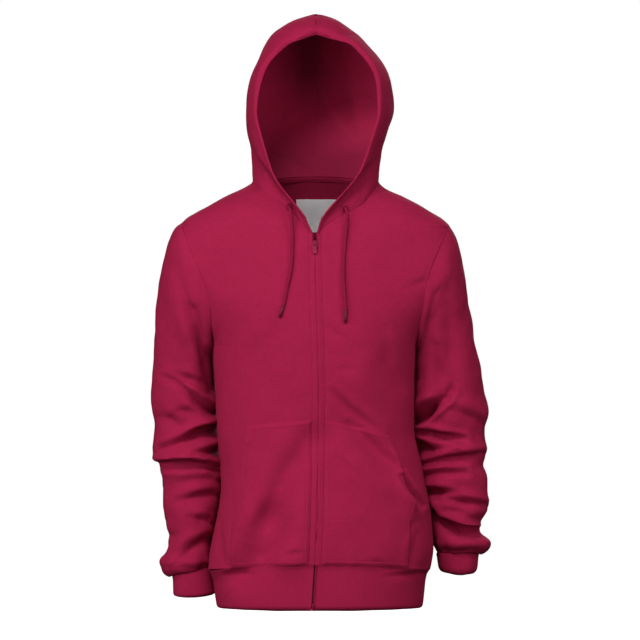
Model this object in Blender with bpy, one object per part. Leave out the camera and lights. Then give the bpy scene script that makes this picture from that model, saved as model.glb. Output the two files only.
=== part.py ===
"""A zip up hoodie with its hood up, filled out as it hangs on a wearer. Every cloth piece is a
separate wall. Metres, +Z up. The front faces -Y, the wearer's right is -X and left is +X.
The origin is in the middle of the neck, level with the points where shoulder and neck meet."""

import math

import bmesh
import bpy
import numpy as np
from mathutils import Matrix, Vector

# ---------------------------------------------------------------- driving sizes, in millimetres
MM = 0.001
RIGHT, LEFT = -1, 1
FRONT, BACK = -1, 1
SIDE_NAMES = {RIGHT: "right", LEFT: "left"}

FLEECE = 2.0  # thickness of the body cloth
DOUBLE_RIB = 3.0  # hem band and cuffs, folded double
CASING = 3.6  # the hood's turned edge, two layers round the cord
SEAM_GAP = 0.3
CUFF_DRAWN_IN = 0.5  # the gathered sleeve end turns in sharply over the cuff
SHARP_SEAM = 0.6  # cosine of the angle past which two panels meet in a crease
LAID_GAP = 0.35  # between a panel and what is sewn on it

TIP_Z = -75.0  # shoulder end of the armhole
PIT_Z = -282.0  # underarm
NECK_BASE_STEP = 8  # the armhole row where the hood starts at the zip
HEM_SEAM_Z = -648.0
HEM_SEAM_DROOP = 10.0  # the seam hangs lower at the sides
DROOP_REACH = 30.0
NAPE_REACH = 40.0  # the back's rows rise towards the nape over this height
ARMHOLE_DEPTH = 78.0  # half the armhole, front to back
NAPE_RISE = 12.0  # the back neck seam stands above the shoulder points
COLLAR_CORNER = math.radians(86)  # where the front neckline reaches the shoulder seam

PLACKET = 11.0  # from the zip's middle to the placket seam
BACK_COLUMNS = 8  # from the middle of the back to each side
COLUMN_BEND = 0.36  # how much the column half way across bends in with the armhole's edge
BEND_POWER = -math.log2(COLUMN_BEND)
CALM_STEPS = (-60, -45, -30, -15, 0, 15, 30, 45, 60)  # heights that even out the chest's rings
CALM_POWER = 4  # how close to the armhole's edge the chest keeps its own rings
PLACKET_COLUMN, POCKET_COLUMN, LAST_COLUMN = 1, 5, 9  # the fronts' columns

# Body rings: half width on each side of the zip's plane, depth to the front and back, and how
# square the ring is. Between underarm and shoulder end the widths are those of the armhole.
TORSO = {
    "z": (0, -13, -26, -38, -50, -62, -75, -105, -127, -152, -178, -205, -230, -252, -268,
          -282, -330, -369, -405, -440, -471, -512, -545, -595, -625, -648, -653, -666, -690,
          -712, -727),
    "right": (107, 128, 156, 181, 202, 218, 229.5, 217.5, 209, 198, 187.5, 181, 179, 178, 177,
              177, 174, 172, 170, 168, 165, 163, 165, 173, 180, 183, 179, 174, 172, 171, 167),
    "left": (106, 121, 150, 175, 194, 213, 227, 213, 203, 194, 187, 182, 177, 173, 172, 172,
             170, 168, 167, 170, 178, 187, 194, 199, 200, 195, 191, 188, 185, 184, 180),
    "front": (57, 64, 70, 76, 82, 87, 91, 100, 105, 110, 115, 120, 123, 125, 126, 126, 126,
              124, 122, 122, 124, 127, 129, 131, 131, 129, 127, 126, 125, 124, 123),
    "back": (66, 74, 80, 85, 90, 95, 99, 107, 112, 117, 121, 124, 125, 125, 124, 123, 118,
             112, 108, 107, 108, 111, 115, 120, 123, 123, 121, 119, 117, 116, 115),
    "square": (2.0, 2.0, 2.0, 2.0, 2.0, 2.02, 2.05, 2.1, 2.1, 2.1, 2.15, 2.2, 2.2, 2.2, 2.2,
               2.2, 2.25, 2.3, 2.3, 2.3, 2.3, 2.3, 2.3, 2.3, 2.3, 2.3, 2.3, 2.3, 2.3, 2.3, 2.3),
}
# The zip isn't quite straight, and the cloth's edges part round its slider.
ZIP_LINE = {
    "z": (0, -92, -117, -192, -279, -367, -439, -570, -673, -727),
    "x": (-2, -2, -1.5, 0, 3.4, 5, 3.4, 1.7, -3.4, -7),
}
ZIP_GAP = {
    "z": (-89.5, -116.4, -147.5, -727),
    "half": (4.8, 4.4, 1.6, 1.5),
}
NECKLINE = {  # distance from the middle, on the fronts
    "z": (-89.5, -79.1, -75, -62, -50, -38, -26, -13, 0),
    "right": (4.8, 12, 15, 27, 38, 53, 71, 92, 106.7),
    "left": (4.8, 11, 15, 34, 58, 77, 88, 98, 105.7),
}
POCKET_EDGE = {  # distance of each pocket's outer edge from the zip
    "z": (-400, -421, -464, -500, -525, -545, -595, -648),
    "right": (121, 121, 124, 127, 129, 131, 139, 144),
    "left": (120, 122, 133, 142, 150, 158, 160, 158),
}
POCKET_TOP_Z = -396.0
POCKET_SLANT = {RIGHT: 12.0, LEFT: 27.0}  # the top seam is lower at the outer corner
POCKET_GAPE = {RIGHT: 2.0, LEFT: 8.0}  # how far the opening stands off the front
POCKET_MOUTH_Z = (-410.0, -560.0)
POCKET_LEAN = 0.3  # share of the gape at the column beside the opening
SLANT_REACH = 45.0  # how far above and below the pocket's top the rows lean with it

BODY_ROWS = (-648, -622, -596, -570, -544, -516, -488, -460, -432, -402, -372, -342, -312)
ARMHOLE_STEPS = (0, 0.03, 0.11, 0.22, 0.36, 0.5, 0.65, 0.8, 0.93, 0.98, 1)
NECK_BASE_Z = PIT_Z + (TIP_Z - PIT_Z) * ARMHOLE_STEPS[NECK_BASE_STEP]
SHOULDER_ROWS = (-62, -50, -38, -26, -13, 0)
HEM_ROWS = (-648, -655, -672, -700, -720, -727)

# Soft folds of the body cloth: a line from x, z to x, z, its width, and how deep it is.
FOLDS = (
    {"face": FRONT, "line": (-6, -430, -78, -572), "width": 22, "depth": 7.5},
    {"face": FRONT, "line": (-78, -572, -132, -652), "width": 20, "depth": 5},
    {"face": FRONT, "line": (-52, -640, -118, -560), "width": 18, "depth": -3},
    {"face": FRONT, "line": (22, -352, 66, -408), "width": 18, "depth": 5},
    {"face": FRONT, "line": (58, -412, 122, -482), "width": 18, "depth": 6},
    {"face": FRONT, "line": (60, -270, 88, -372), "width": 22, "depth": -3},
    {"face": FRONT, "line": (-92, -300, -150, -400), "width": 24, "depth": 3},
    {"face": BACK, "line": (-40, -330, 70, -362), "width": 24, "depth": 5},
    {"face": BACK, "line": (-96, -402, 40, -440), "width": 22, "depth": 6},
    {"face": BACK, "line": (84, -470, -28, -520), "width": 24, "depth": 5},
    {"face": BACK, "line": (-130, -230, -96, -340), "width": 20, "depth": 5},
    {"face": BACK, "line": (132, -226, 98, -330), "width": 20, "depth": 5},
    {"face": BACK, "line": (0, -590, 96, -628), "width": 20, "depth": 4},
)

# Sleeve rings, from the armhole to the cuff seam: the outer and the underarm point in front
# view, the middle from front to back, and half the depth there.
SLEEVE_SQUARE = 2.2
SLEEVE_COLUMNS = ("outer_x", "outer_z", "under_x", "under_z", "middle_y", "half_depth")
SLEEVE_RINGS = {
    RIGHT: (
        (241, -84, 179.5, -289, 3, 77),
        (252, -105, 179, -296, 7, 75),
        (260.5, -140, 178.5, -305, 11, 73),
        (268, -185, 177, -318, 15, 71),
        (273.5, -230, 175.5, -336, 19, 69),
        (276, -275, 174, -352, 23, 67),
        (279, -318, 171.5, -374, 27, 65),
        (282, -358, 170.5, -394, 30, 65),
        (281, -382, 169.5, -408, 32, 63),
        (276, -402, 169, -420, 33, 59),
        (274, -422, 168, -436, 34, 60),
        (276.5, -448, 166, -455, 34, 62),
        (274, -472, 164.5, -474, 34, 60),
        (264, -490, 163.5, -490, 34, 55),
        (261.5, -514, 162.5, -512, 34, 57),
        (260, -540, 164, -536, 34, 55),
        (257, -566, 167, -560, 33, 55),
        (251.5, -592, 171, -584, 32, 50),
        (250, -612, 175.5, -604, 31, 47),
        (254, -632, 180, -622, 30, 48),
        (263.5, -648, 183, -638, 29, 50),
        (259, -663, 184, -648, 28, 46),
        (247, -670, 182.5, -654, 27, 37),
    ),
    LEFT: (
        (236, -90, 175, -289, 3, 77),
        (246, -118, 174.5, -297, 7, 75),
        (252, -155, 173.5, -307, 11, 73),
        (258, -196, 172.5, -320, 15, 71),
        (264, -235, 171.5, -336, 19, 69),
        (270, -275, 170, -352, 23, 67),
        (278, -315, 168, -372, 27, 65),
        (284, -350, 167, -392, 30, 64),
        (292.5, -380, 166.5, -410, 32, 64),
        (292, -400, 167, -424, 33, 61),
        (286, -424, 169, -438, 34, 57),
        (288.5, -448, 172, -452, 34, 61),
        (284.5, -468, 176.5, -468, 34, 58),
        (282, -482, 180, -482, 34, 54),
        (290.5, -500, 183.5, -498, 34, 58),
        (291, -526, 188.5, -520, 34, 55),
        (290, -552, 193.5, -544, 33, 56),
        (280, -574, 196.5, -566, 32, 50),
        (277, -588, 198, -580, 31, 46),
        (288, -604, 199.5, -594, 30, 49),
        (293.5, -618, 201, -608, 29, 50),
        (290, -627, 203.5, -620, 28, 45),
        (279, -632, 207, -630, 27, 37),
    ),
}
CUFF_RINGS = {
    RIGHT: (
        (245, -676, 181, -661, 26, 36),
        (244.5, -690, 178.5, -682, 26, 36),
        (244, -704, 176, -701, 26, 35),
    ),
    LEFT: (
        (277.5, -638, 209, -636, 26, 36),
        (276.5, -652, 211, -649, 26, 36),
        (273, -667, 213.5, -663, 26, 34),
    ),
}

# The hood's face edge: distance from the middle on each side, and its depth.
HOOD_EDGE = {
    "z": (-89.5, -75, -58, -37, -17, 3, 28, 61, 92, 129, 165, 199, 214, 229, 241, 250, 257.5),
    "right": (4.8, 11, 20, 38, 52, 68, 79, 90, 99, 105, 101, 91, 82, 66, 50, 33, 0),
    "left": (4.8, 7, 13, 31, 48, 66, 80, 90, 102, 109, 109, 101, 90, 77, 61, 43, 0),
    "y": (-97, -98, -98, -97, -95, -92, -89, -87, -85, -84, -82, -80, -78.5, -77, -76, -74,
          -72),
}
# Level sections of the hood: half width on each side, the depth where it is widest, the middle
# seam behind, and, above the face edge, the middle seam in front.
HOOD = {
    "z": (30, 61, 92, 129, 165, 199, 225, 241, 257.5, 266, 276, 284, 290),
    "right": (109, 111, 117.5, 119.5, 116, 104.5, 92, 84, 71, 60, 44, 26, 0),
    "left": (104, 113.5, 123, 132.5, 130, 118, 98, 86, 69, 57, 41, 24, 0),
    "middle": (5, 10, 14, 17, 17, 15, 11, 8, 4, 2, 0, -1, -1),
    "behind": (80, 100, 115, 125, 125, 115, 100, 87, 68, 57, 41, 25, 10),
    "before": (-89, -87, -85, -84, -82, -80, -77, -76, -72, -63, -48, -32, -13),
}
HOOD_SQUARE = 2.2
HOOD_LOW_ROWS = (  # height at the face edge, and how far up to the first level section
    (-60, 0.22),
    (-29, 0.46),
    (2, 0.72),
)
HOOD_START = (34, 62)  # the first whole section's height at the face edge, and behind it
HOOD_ROWS = (92, 122, 153, 184, 212, 234, 248, 257.5, 268, 280, 290)
FOREHEAD_Z = 257.5
HOOD_LAST_COLUMN = 17
HOOD_SIDE_COLUMN = 9  # the column over the shoulder point
CASING_COLUMNS = 1

LABEL = {"width": 68.0, "top_z": -26.0, "height": 56.0, "thick": 0.7, "off": 0.6, "rows": 5,
         "columns": 7}
NECK_TAPE = {"wide": 10.0, "thick": 1.0, "first": 3}  # first: columns left bare at each end

CHAIN = {"half": 2.5, "thick": 2.0, "below_cloth": 2.5, "top_z": -104.0, "bottom_z": -711.0}
TAPE = {"inner": 2.9, "outer": 10.5, "thick": 0.8, "bottom_z": -724.0}
ZIP_BOX = {"half": 2.5, "thick": 2.4, "top_z": -712.5, "bottom_z": -724.5}
SLIDER = {"z": -103.0, "half": 3.6, "length": 10.0, "plate": 1.1, "mouth": 1.3}
POST = {"half": 0.9, "length": 2.3, "set_back": 0.3}  # joins the slider's two plates
LAP = 0.4  # how far the slider's pieces run into each other
BRIDGE = {"half": 0.9, "length": 7.2, "inside": 5.2, "room": 1.6, "thick": 0.9}
PULL = {"length": 19.0, "half": 2.7, "thick": 1.0, "eye": 5.4, "eye_half": 1.5, "bar": 0.5,
        "lean_deg": 9}
PULL_GRIP = {"top": -11.0, "wider": 0.35, "thicker": 0.15}

CORD_DIAMETER = 5.2
CORD_CLEAR = 0.9
CORD_SPACING = 1.7  # between the cord's points, in diameters
TIP_GAP = 0.6
EYELET = {"ring": 4.9, "wire": 0.9, "lift": 2.3}
CORD_EXIT = {RIGHT: (-44, -41), LEFT: (49, -44)}  # x, z in front view
CORD_START = (1.5, 3.4, 5.8)  # straight out of the hood
CORD_ROUTE = {  # x, z, and how far the middle of the cord is from the cloth
    RIGHT: ((-43.8, -46, 9.8), (-42.5, -58, 8.0), (-41, -73, 5.0), (-40, -99, 3.6),
            (-41.7, -143, 3.5), (-48.5, -177, 3.5), (-53, -203, 3.5), (-54.5, -208, 3.5)),
    LEFT: ((50.5, -49, 9.2), (51.5, -61, 7.8), (51, -76, 5.0), (48.5, -104, 3.6),
           (46, -151, 3.5), (48.5, -194, 3.5), (49.5, -208, 3.5), (50, -215, 3.5)),
}
CORD_TIP = {RIGHT: (-61, -229), LEFT: (49.5, -238)}
TIP_DIAMETER = 5.6

CHERRY = (0.33, 0.012, 0.055)
CHERRY_RIB = (0.27, 0.010, 0.045)
DARK_CHERRY = (0.12, 0.006, 0.022)
GREY = (0.38, 0.38, 0.40)


# ---------------------------------------------------------------- reading the tables
def smooth(table, column, where):
    """The column's value at a place, on a smooth curve that doesn't overshoot."""
    order = np.argsort(table["z"])
    places = np.asarray(table["z"], float)[order]
    values = np.asarray(table[column], float)[order]
    steps = np.diff(values) / np.diff(places)
    slopes = np.zeros(len(values))
    same = steps[:-1] * steps[1:] > 0
    slopes[1:-1][same] = 2 / (1 / steps[:-1][same] + 1 / steps[1:][same])
    slopes[0], slopes[-1] = steps[0], steps[-1]
    where = np.clip(where, places[0], places[-1])
    i = int(np.clip(np.searchsorted(places, where) - 1, 0, len(places) - 2))
    span = places[i + 1] - places[i]
    t = (where - places[i]) / span
    start, end = values[i], values[i + 1]
    return (
        start * (1 + 2 * t) * (1 - t) ** 2
        + end * t * t * (3 - 2 * t)
        + span * (slopes[i] * t * (1 - t) ** 2 - slopes[i + 1] * t * t * (1 - t))
    )


def mix(a, b, share):
    return a + (b - a) * share


def unit(vector):
    return vector / max(np.linalg.norm(vector), 1e-9)


# ---------------------------------------------------------------- the body's surface
def armhole_turn(z):
    """Angle round the armhole, from the underarm at 0 to the shoulder end at pi."""
    share = np.clip((z - PIT_Z) / (TIP_Z - PIT_Z), 0, 1)
    return math.acos(1 - 2 * share)


def widening(face, z):
    """Level with the armhole, a ring is wide enough to pass through the armhole's edge."""
    depth = smooth(TORSO, "front" if face == FRONT else "back", z)
    square = smooth(TORSO, "square", z)
    reach = ARMHOLE_DEPTH * math.sin(armhole_turn(z)) / depth
    return (1 - reach**square) ** (-1 / square)


def ring(side, face, z):
    """Half width, depth and squareness of a quarter ring."""
    edge = smooth(TORSO, SIDE_NAMES[side], z)
    depth = smooth(TORSO, "front" if face == FRONT else "back", z)
    return edge * widening(face, z), depth, smooth(TORSO, "square", z)


def edge_angle(side, face, z):
    """The angle on the ring where the panel ends: a quarter turn, or the armhole's edge."""
    half, _, square = ring(side, face, z)
    share = smooth(TORSO, SIDE_NAMES[side], z) / half
    return math.asin(min(1.0, share ** (square / 2)))


def angle_at(side, face, distance, z):
    half, _, square = ring(side, face, z)
    return math.asin(min(1.0, (distance / half) ** (square / 2)))


def fold_depth(face, x, z):
    """How far the folds push the cloth in."""
    total = 0.0
    for fold in FOLDS:
        if fold["face"] != face:
            continue
        x0, z0, x1, z1 = fold["line"]
        along = np.array((x1 - x0, z1 - z0), float)
        length = np.linalg.norm(along)
        share = np.dot((x - x0, z - z0), along) / length**2
        nearest = np.clip(share, 0, 1)
        away = math.hypot(x - x0 - nearest * along[0], z - z0 - nearest * along[1])
        total += fold["depth"] * math.exp(-((away / fold["width"]) ** 2))
    return total


def body(side, face, angle, z):
    """A point of the body's outer surface. Angle 0 is the middle, a quarter turn the side."""
    half, depth, square = ring(side, face, z)
    middle = smooth(ZIP_LINE, "x", z) * (1 - math.sin(angle))
    across = half * math.sin(angle) ** (2 / square)
    x = middle + side * across
    out = depth * max(math.cos(angle), 0.0) ** (2 / square)
    widths = [widening(face, z + step) for step in CALM_STEPS]
    calm_half = smooth(TORSO, SIDE_NAMES[side], z) * sum(widths) / len(widths)
    calm_out = depth * (1 - min(1.0, across / calm_half) ** square) ** (1 / square)
    to_edge = min(1.0, angle / edge_angle(side, face, z))
    pushed = fold_depth(face, x, z) * (1 - math.sin(angle) ** 6)
    y = face * (mix(calm_out, out, to_edge**CALM_POWER) - pushed)
    droop = HEM_SEAM_DROOP * math.sin(angle) ** 2
    low = math.exp(-(((z - HEM_SEAM_Z) / DROOP_REACH) ** 2))
    return np.array((x, y, z - droop * low))


def body_at(side, x, z, out):
    """A point on or off the front, by its place in front view."""
    distance = abs(x - smooth(ZIP_LINE, "x", z))
    angle = angle_at(side, FRONT, distance, z)
    step = 0.5
    point = body(side, FRONT, angle, z)
    across = body(side, FRONT, angle + 0.02, z) - point
    up = body(side, FRONT, angle, z + step) - point
    outward = unit(np.cross(across, up) * side)
    return point + outward * out, outward


# ---------------------------------------------------------------- grids of points for the panels
def rows_of_armhole():
    return [PIT_Z + (TIP_Z - PIT_Z) * step for step in ARMHOLE_STEPS]


def body_rows():
    return list(BODY_ROWS) + rows_of_armhole() + list(SHOULDER_ROWS)


def pocket_angle(side, z, inner, outer):
    """The column that carries the pocket's outer edge: half way across above the pocket. The
    cloth's edge bends in at the armhole, and this column bends less."""
    plain = mix(inner, math.pi / 2, 0.5) - (math.pi / 2 - outer) * COLUMN_BEND
    if z > PIT_Z:
        return plain
    held = angle_at(side, FRONT, smooth(POCKET_EDGE, SIDE_NAMES[side], z), z)
    share = np.clip((z - POCKET_TOP_Z) / (PIT_Z - POCKET_TOP_Z), 0, 1)
    return mix(held, plain, share * share * (3 - 2 * share))


def front_angles(side, z):
    """Columns of a front: zip edge or neckline, placket seam, pocket edge, side or armhole."""
    outer = edge_angle(side, FRONT, z)
    if z > NECK_BASE_Z + 0.1:
        name = SIDE_NAMES[side]
        inner = min(COLLAR_CORNER, angle_at(side, FRONT, smooth(NECKLINE, name, z), z))
        placket = mix(inner, outer, 1 / LAST_COLUMN)
    else:
        inner = angle_at(side, FRONT, smooth(ZIP_GAP, "half", z), z)
        placket = angle_at(side, FRONT, PLACKET, z)
    pocket = pocket_angle(side, z, placket, outer)
    steps = POCKET_COLUMN - PLACKET_COLUMN
    within = [mix(placket, pocket, i / steps) for i in range(steps)]
    steps = LAST_COLUMN - POCKET_COLUMN
    beyond = [mix(pocket, outer, i / steps) for i in range(steps + 1)]
    return [inner] + within + beyond


def front_grid(side):
    grid = []
    for z in body_rows():
        angles = front_angles(side, z)
        near_top = math.exp(-(((z - POCKET_TOP_Z) / SLANT_REACH) ** 2))
        points = []
        for column, angle in enumerate(angles):
            to_pocket = (column - PLACKET_COLUMN) / (POCKET_COLUMN - PLACKET_COLUMN)
            to_side = (LAST_COLUMN - column) / (LAST_COLUMN - POCKET_COLUMN)
            slant = POCKET_SLANT[side] * near_top * max(0.0, min(to_pocket, to_side))
            points.append(body(side, FRONT, angle, z - slant))
        grid.append(points)
    return np.array(grid)


def back_grid():
    grid = []
    for z in body_rows():
        rise = NAPE_RISE * np.clip(1 + z / NAPE_REACH, 0, 1)
        points = []
        for step in range(-BACK_COLUMNS, BACK_COLUMNS + 1):
            side = RIGHT if step < 0 else LEFT
            share = abs(step) / BACK_COLUMNS
            bend = (math.pi / 2 - edge_angle(side, BACK, z)) * share**BEND_POWER
            angle = math.pi / 2 * share - bend
            point = body(side, BACK, angle, z)
            point[2] += rise * math.cos(angle) ** 2
            points.append(point)
        grid.append(points)
    return np.array(grid)


def hem_grid():
    grid = []
    for z in HEM_ROWS:
        right = [body(RIGHT, FRONT, a, z) for a in front_angles(RIGHT, z)]
        left = [body(LEFT, FRONT, a, z) for a in front_angles(LEFT, z)]
        behind = []
        for step in range(-BACK_COLUMNS + 1, BACK_COLUMNS):
            side = RIGHT if step < 0 else LEFT
            behind.append(body(side, BACK, math.pi / 2 * abs(step) / BACK_COLUMNS, z))
        grid.append(right + behind + left[::-1])
    return np.array(grid)


def tube_ring(side, row):
    """One ring of a sleeve or cuff: from the underarm over the front to the top and back."""
    size = dict(zip(SLEEVE_COLUMNS, row))
    outer = np.array((side * size["outer_x"], size["middle_y"], size["outer_z"]), float)
    under = np.array((side * size["under_x"], size["middle_y"], size["under_z"]), float)
    middle, half = (outer + under) / 2, (outer - under) / 2
    turns = [math.acos(1 - 2 * step) for step in ARMHOLE_STEPS]
    points = []
    for face, angles in ((FRONT, turns[:-1]), (BACK, turns[:0:-1])):
        for angle in angles:
            along = math.copysign(abs(math.cos(angle)) ** (2 / SLEEVE_SQUARE), math.cos(angle))
            across = math.sin(angle) ** (2 / SLEEVE_SQUARE)
            depth = np.array((0, face * size["half_depth"] * across, 0))
            points.append(middle - half * along + depth)
    return points


def armhole_ring(side):
    points = []
    rows = rows_of_armhole()
    for face, heights in ((FRONT, rows[:-1]), (BACK, rows[:0:-1])):
        for z in heights:
            points.append(body(side, face, edge_angle(side, face, z), z))
    return points


def sleeve_grid(side):
    return np.array([armhole_ring(side)] + [tube_ring(side, row) for row in SLEEVE_RINGS[side]])


def cuff_grid(side):
    rows = (SLEEVE_RINGS[side][-1],) + CUFF_RINGS[side]
    return np.array([tube_ring(side, row) for row in rows])


def hood_section(side, heights):
    """A level section of the hood, from the face edge round the side to the middle behind."""
    name = SIDE_NAMES[side]
    points = []
    for column, z in enumerate(heights):
        half, middle = smooth(HOOD, name, z), smooth(HOOD, "middle", z)
        behind = smooth(HOOD, "behind", z) - middle
        edge_x, edge_y = 0.0, smooth(HOOD, "before", z)
        if z < FOREHEAD_Z:
            edge_x, edge_y = smooth(HOOD_EDGE, name, z), smooth(HOOD_EDGE, "y", z)
        start = math.acos(min(1.0, (edge_x / max(half, 0.1)) ** (HOOD_SQUARE / 2)))
        before = (middle - edge_y) / math.sin(start) ** (2 / HOOD_SQUARE)
        if column <= HOOD_SIDE_COLUMN:
            angle, reach = -start * (1 - column / HOOD_SIDE_COLUMN), -before
        else:
            beyond = (column - HOOD_SIDE_COLUMN) / (HOOD_LAST_COLUMN - HOOD_SIDE_COLUMN)
            angle, reach = math.pi / 2 * beyond, behind
        x = half * max(math.cos(angle), 0.0) ** (2 / HOOD_SQUARE)
        y = middle + reach * abs(math.sin(angle)) ** (2 / HOOD_SQUARE)
        points.append(np.array((side * x, y, z)))
    return points


def hood_grid(side, front, back):
    """The hood's panel, from the neck seam up to the crown."""
    neck_row = len(BODY_ROWS) + NECK_BASE_STEP
    neckline = [row[0] for row in front[neck_row:]] + [front[-1][-1]]
    half = back[-1] if side == LEFT else back[-1][::-1]
    neckline += list(half[::-1][1 : BACK_COLUMNS + 1])
    turn_in = [min(1.0, column / 5) for column in range(HOOD_LAST_COLUMN + 1)]
    first = hood_section(side, [mix(HOOD_START[0], HOOD_START[1], t) for t in turn_in])
    rows = [neckline]
    for edge_z, share in HOOD_LOW_ROWS:
        row = [mix(a, b, share) for a, b in zip(neckline, first)]
        edge_x = smooth(HOOD_EDGE, SIDE_NAMES[side], edge_z)
        edge = np.array((side * edge_x, smooth(HOOD_EDGE, "y", edge_z), edge_z))
        shift = edge - row[0]
        rows.append([p + shift * (1 - t) ** 2 for p, t in zip(row, turn_in)])
    rows.append(first)
    rows += [hood_section(side, [z] * (HOOD_LAST_COLUMN + 1)) for z in HOOD_ROWS]
    return np.array(rows)


# ---------------------------------------------------------------- walls
def grid_normals(grid, loop):
    """Outward directions at the points of a grid whose rows go up and columns to the left of
    someone who looks at the outside."""
    after = np.roll(grid, -1, axis=1) if loop else grid[:, 1:]
    here = grid if loop else grid[:, :-1]
    faces = np.cross(here[1:] - after[:-1], after[1:] - here[:-1])
    total = np.zeros_like(grid)
    width = here.shape[1]
    for row in (0, 1):
        for column in (0, 1):
            place = (np.arange(width) + column) % grid.shape[1]
            total[row : row + len(faces), place] += faces
    return total


class Panel:
    """One sewn piece: its outer points, and what a wall needs to be made from them."""

    def __init__(self, grid, turned=1, loop=False, thick=FLEECE):
        self.grid = grid
        self.loop = loop
        self.thick = np.full(grid.shape[:2], float(thick))
        self.turned = turned
        self.sums = grid_normals(grid, loop) * turned
        self.outward = None


def key_of(point):
    return tuple(np.round(point, 1))


def share_normals(panels):
    """Where panels meet on a smooth stretch they lean the same way, so their edges stay
    parallel. In a sharp crease each keeps its own way."""
    meeting = {}
    for panel in panels.values():
        for point, total in zip(panel.grid.reshape(-1, 3), panel.sums.reshape(-1, 3)):
            meeting.setdefault(key_of(point), []).append(total)
    for panel in panels.values():
        panel.outward = np.zeros_like(panel.grid)
        for index in np.ndindex(panel.grid.shape[:2]):
            own = unit(panel.sums[index])
            near = meeting[key_of(panel.grid[index])]
            joint = unit(sum(t for t in near if np.dot(own, unit(t)) > SHARP_SEAM))
            panel.outward[index] = joint / np.dot(own, joint)


def draw_in(grid, loop, amount=SEAM_GAP / 2):
    """The outer points with every edge moved in, by half a seam gap unless told otherwise."""
    moved = grid.copy()
    for edge, beside in ((0, 1), (-1, -2)):
        for column in range(grid.shape[1]):
            moved[edge, column] += amount * unit(grid[beside, column] - grid[edge, column])
        if loop:
            continue
        for row in range(len(grid)):
            moved[row, edge] += amount * unit(grid[row, beside] - grid[row, edge])
    return moved


def material(name, colour, roughness=0.9, metallic=0.0):
    found = bpy.data.materials.get(name) or bpy.data.materials.new(name)
    found.use_nodes = True
    shader = found.node_tree.nodes["Principled BSDF"]
    shader.inputs["Base Color"].default_value = (*colour, 1.0)
    shader.inputs["Roughness"].default_value = roughness
    shader.inputs["Metallic"].default_value = metallic
    return found


def add_object(name, mesh, finish):
    obj = bpy.data.objects.new(name, mesh)
    mesh.materials.append(finish)
    PARTS.objects.link(obj)
    return obj


def wall(name, outer, inner, finish, turned=1, loop=False):
    """A closed wall between two grids of points."""
    rows, columns = outer.shape[:2]
    flat = np.concatenate([outer.reshape(-1, 3), inner.reshape(-1, 3)]) * MM
    below = rows * columns
    last = columns if loop else columns - 1
    faces = []

    def add(*corners):
        faces.append(corners if turned > 0 else corners[::-1])

    def at(row, column):
        return row * columns + column % columns

    for row in range(rows - 1):
        for column in range(last):
            a, b = at(row, column), at(row, column + 1)
            c, d = at(row + 1, column + 1), at(row + 1, column)
            add(a, d, c, b)
            add(below + a, below + b, below + c, below + d)
    for column in range(last):
        a, b = at(0, column), at(0, column + 1)
        add(a, b, below + b, below + a)
        a, b = at(rows - 1, column + 1), at(rows - 1, column)
        add(a, b, below + b, below + a)
    if not loop:
        for row in range(rows - 1):
            a, b = at(row + 1, 0), at(row, 0)
            add(a, b, below + b, below + a)
            a, b = at(row, columns - 1), at(row + 1, columns - 1)
            add(a, b, below + b, below + a)
    mesh = bpy.data.meshes.new(name)
    mesh.from_pydata([tuple(p) for p in flat], [], faces)
    obj = add_object(name, mesh, finish)
    mesh.shade_smooth()
    mesh.set_sharp_from_angle(angle=math.radians(50))
    return obj


def panel_wall(name, panel, finish, crown_shift=0.0, drawn_in=SEAM_GAP / 2):
    outer = draw_in(panel.grid, panel.loop, drawn_in)
    outer[-1, :, 0] += crown_shift
    inner = outer - panel.outward * panel.thick[..., None]
    return wall(name, outer, inner, finish, panel.turned, panel.loop)


def sleeve_wall(name, side, panel, finish):
    """A sleeve stands a seam's gap outside its armhole."""
    outer = draw_in(panel.grid, True)
    outer[0] = panel.grid[0] + np.array((side * SEAM_GAP, 0, 0))
    inner = outer - panel.outward * panel.thick[..., None]
    return wall(name, outer, inner, finish, panel.turned, True)


def laid_on(name, grid, outward, start, thick, finish, turned=-1):
    """A piece that lies on a panel: the panel's own points, moved out along its normals."""
    inner = grid + outward * start[..., None]
    outer = grid + outward * (start + thick)[..., None]
    return wall(name, outer, inner, finish, turned)


def on_grid(grid, row, column):
    """A point between a grid's own points."""
    r, c = min(int(row), len(grid) - 2), min(int(column), grid.shape[1] - 2)
    below = mix(grid[r, c], grid[r, c + 1], column - c)
    above = mix(grid[r + 1, c], grid[r + 1, c + 1], column - c)
    return mix(below, above, row - r)


# ---------------------------------------------------------------- sewn pieces
def make_cloth():
    fleece = material("cherry_fleece", CHERRY)
    rib = material("cherry_rib", CHERRY_RIB)
    panels = {"back": Panel(back_grid())}
    for side, name in SIDE_NAMES.items():
        panels["front_" + name] = Panel(front_grid(side), turned=-side)
        panels["sleeve_" + name] = Panel(sleeve_grid(side), turned=side, loop=True)
        cuff = Panel(cuff_grid(side), turned=side, loop=True, thick=DOUBLE_RIB)
        panels["cuff_" + name] = cuff
        front = panels["front_" + name].grid
        hood = Panel(hood_grid(side, front, panels["back"].grid), turned=-side)
        hood.thick[:, : CASING_COLUMNS + 1] = CASING
        panels["hood_" + name] = hood
    hem = Panel(hem_grid(), turned=-1, thick=DOUBLE_RIB)
    hem.thick[:, :2] = hem.thick[:, -2:] = FLEECE
    panels["hem_band"] = hem
    share_normals(panels)
    for name, panel in panels.items():
        finish = rib if name.startswith(("cuff", "hem")) else fleece
        if name.startswith("sleeve"):
            side = RIGHT if name.endswith("right") else LEFT
            sleeve_wall(name, side, panel, finish)
        elif name.startswith("hood"):
            side = RIGHT if name.endswith("right") else LEFT
            panel_wall(name, panel, finish, crown_shift=side * SEAM_GAP / 2)
        elif name.startswith("cuff"):
            panel_wall(name, panel, finish, drawn_in=CUFF_DRAWN_IN)
        else:
            panel_wall(name, panel, finish)
    return panels


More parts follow.
